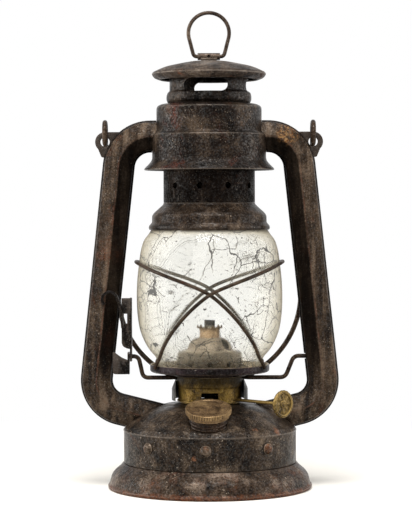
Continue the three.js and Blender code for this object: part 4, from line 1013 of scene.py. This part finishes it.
def chimneyTube():
    foot, top = levels("chimney_tube")
    r, lip = chimney["tube"], chimney["tubeRound"]
    line = [[r, foot], [r, top - lip], [r - lip, top], [chimney["flange"], top]]
    piece = turned("chimneyTube", sheetOutline(line, chimney["wall"], [.3, .7, .7, .3], 4), 144)
    turns = chimney["holeFirst"] + np.arange(chimney["holes"]) * 360 / chimney["holes"]
    rise = foot + chimney["holeRise"]
    return combined(piece, [rod("hole", chimney["hole"], *outward(*chimney["holeEnds"], turn, rise), sides=24)
                            for turn in turns])


def chimneySleeve():
    foot, top = levels("chimney_sleeve", above=seam)
    line = band(chimney["sleeve"] - chimney["wall"], chimney["sleeve"], foot, top)
    return turned("chimneySleeve", soften(line, .25, 4, loop=True), 144)


# A slot with round ends, cut straight through the wall from the front at its own angle
def slotCutter(turn, span):
    foot = levels("gallery")[0] + chimney["slotFoot"]
    radius = chimney["slotHeight"] / 2
    half = chimney["sleeve"] * math.sin(math.radians(span / 2)) - radius
    right, left = (arc((side * half, 0), (side, 0), (0, side), radius, -90, 90, 13) for side in (1, -1))
    section = np.vstack([right, left])
    rings = np.stack([np.insert(section, 2, depth, axis=1) for depth in chimney["slotEnds"]])
    return meshPiece("slot", laidOut(rings, turn, foot + radius), capped(2, len(section)))


def gallery():
    line = between(chimney["galleryShares"], (chimney["sleeve"], chimney["bead"]), levels("gallery", above=seam))
    piece = turned("gallery", sheetOutline(line, chimney["wall"], chimney["galleryReach"]), 144)
    return combined(piece, [slotCutter(*slot) for slot in chimney["slots"]])


def hood():
    line = between(chimney["hoodShares"], (0, chimney["hood"]), levels("hood"))
    reach = chimney["hoodReach"][::-1] + chimney["hoodReach"]
    return turned("hood", soften(closedOutline(line, chimney["hoodWall"]), reach, 6), 144, loop=False)


bracket = {"radius": 2.15, "bore": 1.6, "length": 13.8, "rim": .6, "foot": (10, 5, 1.2), "eye": 1.0, "pivot": 265.028,
           "soft": .18}


# Bracket: a sheet rolled round the ring's wire over a foot
def ringBracket():
    half, level = bracket["length"] / 2, bracket["pivot"]
    rim = half - bracket["rim"]
    path = [[x, 0, level] for x in (-half, -rim, 0, rim, half)]   # keeps the wear near the rims
    roll = softEdges(carried("ringBracket", circle(bracket["radius"], 48), path), bracket["soft"], 2)
    length, depth, height = bracket["foot"]
    low = levels("ring_bracket")[0]
    foot = brick("foot", (-length / 2, -depth / 2, low), (length / 2, depth / 2, low + height))
    bore = rod("bore", bracket["bore"], (-half - 2, 0, level), (half + 2, 0, level), 48)
    eye = rod("eye", bracket["eye"], (0, -6, level), (0, 0, level), 24)
    return combined(combined(roll, [softEdges(foot, bracket["soft"], 2)], "UNION"), [bore, eye])


finished(bell(), "bellPaint", "chimney", "bell", 1.3)
finished(chimneyTube(), "chimneyPaint", "chimney", "chimney_tube")
finished(chimneySleeve(), "chimneyPaint", "chimney", "chimney_sleeve")
finished(gallery(), "blackPaint", "chimney", "gallery", 1.3)
finished(hood(), "hoodTopPaint", "chimney", "hood", 1.3)
finished(ringBracket(), "ringSteel", "chimney", "ring_bracket", 1.0)

# Lift ring
ring = {"wire": 1.15, "radius": 12.5, "centre": 279.3, "corner": 9.2, "end": 2.9, "turnIn": 12, "bend": 2}


def liftRing():
    right, left = ([[side * ring[key], 0, bracket["pivot"]] for key in ("end", "corner")] for side in (1, -1))
    bow = arc((0, 0, ring["centre"]), (1, 0, 0), (0, 0, 1), ring["radius"], -ring["turnIn"], 180 + ring["turnIn"], 64)
    path = np.vstack([right, bow, left[::-1]])
    return wire("liftRing", soften(path, ring["bend"], 5), ring["wire"], 20)


finished(liftRing(), "ringSteel", "top_ring", "lift_ring", .4)
print("chimney built")


# Collar and side tubes
collar = {"radius": 35, "skirtRadius": 40.1, "neck": 32.3, "skirt": 7.3, "step": 21.1, "stepRise": 3.2, "shoulder": 3,
          "mouth": 24.8, "wall": 1.0,
          "skirtShares": [[1, 0], [.93, .13], [.41, .48], [.09, .75], [0, 1]],
          "stepShares": [[1, 0], [.73, .34], [.09, .63], [0, 1]],
          "shoulderShares": [[1, 0], [.93, .5], [.6, .93], [0, 1]],
          "reach": [.3, .8, 3, 2, 1.6, 1.2, 1.0, 1.0, 1.2, 1.6, 1.2, 1.2, .3]}
tube = {"width": 19.7, "depth": 14, "wall": .8, "joint": 216.09, "top": 53.6, "foot": 71.23, "footLevel": 52.33,
        "fall": 14.2, "run": 43, "topBend": 19.5, "footBend": 18.5, "start": 28.2, "play": .12,
        "crankHole": 1.9, "crankHoleEnds": [(54, 0, 80.9), (60.9, 0, 80.9)],
        "section": [[1, .1], [.93, .11], [.87, .44], [.83, .53], [0, 1], [-.83, .53], [-.87, .44], [-.93, .11],
                    [-1, .1]],
        "sectionReach": [.4, .5, .9, .9, .9, .9, .9, .5, .4]}


def collarLine():
    foot, top = levels("collar")
    return np.vstack([
        between(collar["skirtShares"], (collar["radius"], collar["skirtRadius"]), (foot, foot + collar["skirt"])),
        between(collar["stepShares"], (collar["neck"], collar["radius"]),
                (foot + collar["step"], foot + collar["step"] + collar["stepRise"])),
        between(collar["shoulderShares"], (collar["mouth"], collar["neck"]), (top - collar["shoulder"], top))])


# A solid turned from the line to the axis, grown by a distance
def blockFrom(name, line, grow):
    grown = moved(line, -grow)
    return turned(name, np.vstack([[0, grown[0, 1]], grown, [0, grown[-1, 1]]]), 144, loop=False)


# The corners of the tube's route, with each bend an arc that touches both of its straights
def tubeRoute(extra=0.0):
    run, fall = tube["run"] + extra, math.radians(tube["fall"])
    foot, level = tube["foot"], tube["footLevel"]
    corners = np.array([[tube["start"] - extra, tube["joint"]], [tube["top"], tube["joint"]], [foot, level],
                        [foot - run * math.cos(fall), level - run * math.sin(fall)]])
    bends = []
    for i, radius in ((1, tube["topBend"]), (2, tube["footBend"])):
        back, ahead = unit(corners[i - 1] - corners[i]), unit(corners[i + 1] - corners[i])
        half = math.acos(np.clip(back.dot(ahead), -1, 1)) / 2
        middle = corners[i] + unit(back + ahead) * radius / math.sin(half)
        start, end = (corners[i] + way * radius / math.tan(half) - middle for way in (back, ahead))
        swing = math.acos(np.clip(start.dot(end) / radius ** 2, -1, 1))
        s = np.linspace(0, 1, 20)[:, None]
        bends.append(middle + (start * np.sin((1 - s) * swing) + end * np.sin(s * swing)) / math.sin(swing))
    straight = np.linspace(bends[0][-1], bends[1][0], 30)[1:-1]
    flat = np.vstack([corners[:1], bends[0], straight, bends[1], corners[-1:]])
    return np.insert(flat, 1, 0, axis=1)


def tubeSection(inset):
    half = np.array([tube["width"] / 2 - inset, tube["depth"] / 2 - inset])
    upper = np.array(tube["section"]) * half
    return soften(np.vstack([upper, -upper]), tube["sectionReach"] * 2, 5, loop=True)


# A tube's outer or inner skin along its route, on either side of the lantern
def tubeSkin(name, side, inset, extra=0.0, hollow=None):
    return carried(name, tubeSection(inset), tubeRoute(extra) * [side, 1, 1], up=(0, 1, 0), hollow=hollow)


def sideTube(name, side):
    piece = tubeSkin(name, side, 0, hollow=tubeSection(tube["wall"]))
    cutters = [blockFrom("collarBlock", collarLine(), tube["play"]), blockFrom("fountBlock", fountLine(), tube["play"])]
    if side > 0:
        cutters.append(rod("crankHole", tube["crankHole"], *tube["crankHoleEnds"]))
    return combined(piece, cutters)


def collarShell():
    piece = turned("collarShell", sheetOutline(collarLine(), collar["wall"], collar["reach"]), 160)
    return combined(piece, [tubeSkin("bore", side, tube["wall"], 2) for side in (1, -1)])


# How far each point p lies across its tube: n.(p - q) / half width, from the nearest point q of the route,
# with n the route's normal towards the globe
def markAcross(mesh, side):
    route = tubeRoute(2) * [side, 1, 1]
    tangent = unit(np.gradient(route, axis=0))
    inward = -side * np.stack([-tangent[:, 2], 0 * tangent[:, 0], tangent[:, 0]], 1)
    place = vertexData(mesh, "co") / mm
    nearest = np.linalg.norm(place[:, None, [0, 2]] - route[None][:, :, [0, 2]], axis=-1).argmin(1)
    mark(mesh, "across", ((place - route[nearest]) * inward[nearest]).sum(1) / (tube["width"] / 2))


finished(collarShell(), "collarPaint", "frame", "collar", 1.4)
for word, side in (("Left", -1), ("Right", 1)):
    markAcross(finished(sideTube(f"sideTube{word}", side), "tubePaint", "frame", f"side_tube_{word.lower()}",
                        1.4), side)

# Ears and bail
ear = {"x": 63.9, "z": 212.79, "hole": 2.85, "round": 6.1, "thick": 1.4, "foot": (66.1, 203.29), "inner": 53.6,
       "play": .05, "soft": .3}


def bailEar(name, side):
    rim = arc((ear["x"], ear["z"]), (1, 0), (0, 1), ear["round"], 90, -45, 28)
    outline = np.vstack([[ear["inner"], ear["z"] + ear["round"]], rim, ear["foot"], [ear["inner"], ear["foot"][1]]])
    piece = standing(name, soften(outline, .8, 3, loop=True) * [side, 1], -ear["thick"] / 2, ear["thick"] / 2)
    hole = rod("hole", ear["hole"], (side * ear["x"], -4, ear["z"]), (side * ear["x"], 4, ear["z"]), 40)
    return softEdges(combined(piece, [hole, tubeSkin("within", side, -ear["play"])]), ear["soft"])


bail = {"wire": 1.5, "eye": 6.5, "eyeLevel": 218.27, "eyeEnd": 296, "half": 57, "bottom": 61.5, "stand": 8.9,
        "lean": 25.23, "bend": 7}


# Bail: an open eye through each ear, then y = lean + (stand - lean) (z - bottom) / (top - bottom) down to a round bow
def bailWire():
    legTop = bail["eyeLevel"] - 2 * bail["eye"]
    bowTop = bail["bottom"] + bail["half"]

    def depth(level):
        return bail["lean"] + (bail["stand"] - bail["lean"]) * (level - bail["bottom"]) / (legTop - bail["bottom"])

    def half(side):
        x = side * ear["x"]
        eye = arc((x, 0, bail["eyeLevel"]), (0, 1, 0), (0, 0, 1), bail["eye"], bail["eyeEnd"], 0, 60)
        return np.vstack([eye, [x, (bail["eye"] + bail["stand"]) / 2, bail["eyeLevel"] - bail["eye"]],
                          [x, bail["stand"], legTop], [side * bail["half"], depth(bowTop), bowTop]])

    bow = arc((0, 0, bowTop), (1, 0, 0), (0, 0, 1), bail["half"], 180, 360, 90)
    bow[:, 1] = depth(bow[:, 2])
    path = np.vstack([half(-1), bow[1:-1], half(1)[::-1]])
    return wire("bailWire", soften(path, bail["bend"], 5), bail["wire"], 20)


for word, side in (("Left", -1), ("Right", 1)):
    finished(bailEar(f"bailEar{word}", side), "platePaint", "frame", f"bail_ear_{word.lower()}", .5,
             plate=True)
finished(bailWire(), "wireBrown", "handle", "bail", .4)
print("frame built")


# Lift works: crank wire, bracket on the left tube, and the lever with its thumb hook
crank = {"wire": 1.3, "level": 80.9, "low": 67.7, "left": (-50.6, -43.9, -41), "right": (60.4, 51.8, 46.5), "bow": 22.5,
         "bowStart": 25, "bend": 3.2, "bore": 1.95, "boreEnds": (-56, -44)}


def liftCrank():
    level, low, bowRadius = crank["level"], crank["low"], crank["bow"]
    left, right = ([[end, 0, level], [top, 0, level], [foot, 0, low], [side * bowRadius, 0, low]]
                   for side, (end, top, foot) in ((-1, crank["left"]), (1, crank["right"])))
    bow = arc((0, 0, low), (1, 0, 0), (0, 1, 0), bowRadius, 180 - crank["bowStart"], crank["bowStart"], 40)
    return wire("liftCrank", soften(np.vstack([left, bow, right[::-1]]), crank["bend"], 8), crank["wire"], 18)


def crankBore():
    return rod("bore", crank["bore"], *((x, 0, crank["level"]) for x in crank["boreEnds"]))


lever = {"sheet": 1.2, "face": -5.2, "left": -54, "web": -48.37, "foot": 85.6, "top": 117, "back": 2.4, "webFoot": 78.1,
         "window": (-52.6, -50.6, 101.4, 107.4), "tab": (100, 108), "soft": .25,
         "hook": [[-53.2, 99], [-54, 107], [-55.2, 114], [-57.3, 119.5], [-60.8, 121.6], [-64.6, 119.9], [-66, 116.2],
                  [-64.4, 113.2]], "hookY": -10.1, "hookWidth": 5, "hookThick": 1.6}
leverBracket = {"left": -59.6, "lug": -49.9, "bottom": 70.2, "top": 84.6, "lugTop": 83.5, "back": 3,
                "topShares": [[0, 1], [.28, .86], [.6, .7], [1, .6]]}


def bracketPiece():
    y, half, lug = lever["face"], lever["sheet"] / 2, leverBracket["lug"]
    left, bottom = leverBracket["left"], leverBracket["bottom"]
    top = between(leverBracket["topShares"], (left, lug), (bottom, leverBracket["top"]))
    outline = np.vstack([[left, bottom], [lug + half, bottom], [lug + half, top[-1, 1]], top[::-1]])
    face = standing("leverBracket", soften(outline, 2, 4, loop=True), y, y + lever["sheet"])
    side = brick("lug", (lug - half, y, bottom), (lug + half, leverBracket["back"], leverBracket["lugTop"]))
    return softEdges(combined(combined(face, [side], "UNION"), [crankBore()]), lever["soft"], 2)


def liftLever():
    y, sheet, web = lever["face"], lever["sheet"], lever["web"]
    outline = between([[1, 0], [.55, .01], [.15, .05], [0, .11], [0, 1], [1, 1]], (lever["left"], web + sheet / 2),
                      (lever["foot"], lever["top"]))
    left, right, low, high = lever["window"]
    face = standing("liftLever", soften(outline, [.3, 2, 2, 2, .5, .3], 4, loop=True), y, y + sheet)
    side = brick("side", (web - sheet / 2, y, lever["webFoot"]), (web + sheet / 2, lever["back"], lever["top"]))
    tabLow, tabHigh = lever["tab"]
    tab = brick("tab", (lever["left"], lever["hookY"] - .9, tabLow), (lever["left"] + sheet, y + sheet, tabHigh))
    route = soften([[x, lever["hookY"], z] for x, z in lever["hook"]], 9, 6)
    half = np.array([lever["hookThick"], lever["hookWidth"]]) / 2
    section = soften(np.array([[-1, -1], [1, -1], [1, 1], [-1, 1]]) * half, .45, 4, loop=True)
    hook = carried("hook", section, route, up=(0, 1, 0))
    piece = combined(face, [side, tab], "UNION")
    window = brick("window", (left, y - 2, low), (right, y + 3, high))
    piece = softEdges(combined(piece, [crankBore(), window]), lever["soft"], 2)
    return together("liftLever", piece, hook)


finished(liftCrank(), "wireBrown", "crank", "lift_crank", .4)
finished(bracketPiece(), "platePaint", "frame", "lever_bracket", .5, plate=True)
finished(liftLever(), "platePaint", "crank", "lift_lever", .5, plate=True)

# CAD pieces whose shape is right keep it and get a finish
keptFinishes = {"fount_bottom": "fountPaint", "wick_tube": "drumBrass", "wick_sprocket_1": "drumBrass",
                "wick_sprocket_2": "drumBrass", "chimney_spring": "ringSteel"}
for name, paint in keptFinishes.items():
    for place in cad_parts[name].material_slots:
        place.material = paints[paint]
print("lift works built")


# Studio: pale floor, white surround for what the camera and the glass see, soft lamps at both sides and above
studio = {"floorSize": 6.0, "floor": "eceae6 f1f0ec", "floorRoughness": 0.9, "floorShine": 0.1, "fade": (0.10, 0.42),
          "surround": 0.26, "tint": (1.0, 0.975, 0.935), "aim": (0, 0, 0.15),
          "lamps": {"left": ((-1.05, -0.05, 0.42), 1.1, 15.0), "right": ((1.05, -0.02, 0.42), 1.1, 10.5),
                    "above": ((0.0, -0.45, 1.10), 0.60, 14.0), "front": ((-0.45, -1.5, 0.75), 0.6, 5.0)}}


def seenRays(recipe):
    camera, mirrored, passing = (recipe.made("LightPath", f"Is {kind} Ray")
                                 for kind in ("Camera", "Glossy", "Transmission"))
    return recipe.math("ADD", recipe.math("ADD", camera, mirrored, clamp=True), passing, clamp=True)


def surround():
    world = bpy.data.worlds.new("studioWorld")
    recipe = Recipe(world)
    ambient = recipe.kept("Background", {"Color": "ffffff", "Strength": studio["surround"]})
    white = recipe.made("Background", 0, {"Color": "ffffff", "Strength": 1})
    recipe.surface(recipe.blend(seenRays(recipe), ambient, white), "World Output")
    bpy.context.scene.world = world


# The floor keeps the shadow near the lantern and runs out into the white surround
def floorPlane():
    half = studio["floorSize"] / 2 / mm
    corners = [[x * half, y * half, 0] for x, y in ((-1, -1), (1, -1), (1, 1), (-1, 1))]
    piece = meshPiece("floor", corners, [(0, 1, 2, 3)])
    recipe = Recipe(bpy.data.materials.new("floorPaint"))
    paper = recipe.shade({"Base Color": recipe.mix(recipe.noise(4, 2), *studio["floor"].split()),
                          "Roughness": studio["floorRoughness"], "Specular IOR Level": studio["floorShine"]})
    distance = recipe.made("VectorMath", "Value", {0: recipe.place}, operation="LENGTH")
    away = recipe.step(distance, *studio["fade"])
    recipe.surface(recipe.blend(away * seenRays(recipe), paper, recipe.made("Emission")))
    piece.data.materials.append(recipe.owner)


# A square lamp that faces the aim: its axes are sideways, upward and back along its beam
def softLamp(name, place, size, power):
    light = bpy.data.lights.new(name, "AREA")
    light.shape, light.size, light.energy, light.color = "SQUARE", size, power, studio["tint"]
    lamp = linked(name, light)
    lamp.location = place
    backward = unit(np.array(place) - np.array(studio["aim"]))
    side = unit(np.cross((0, 0, 1), backward))
    lamp.rotation_euler = Matrix(np.stack([side, np.cross(backward, side), backward], 1).tolist()).to_euler()


surround()
floorPlane()
for name, (place, size, power) in studio["lamps"].items():
    softLamp(name + "Lamp", place, size, power)
bpy.context.scene.view_settings.view_transform = "Standard"
print("studio lit")
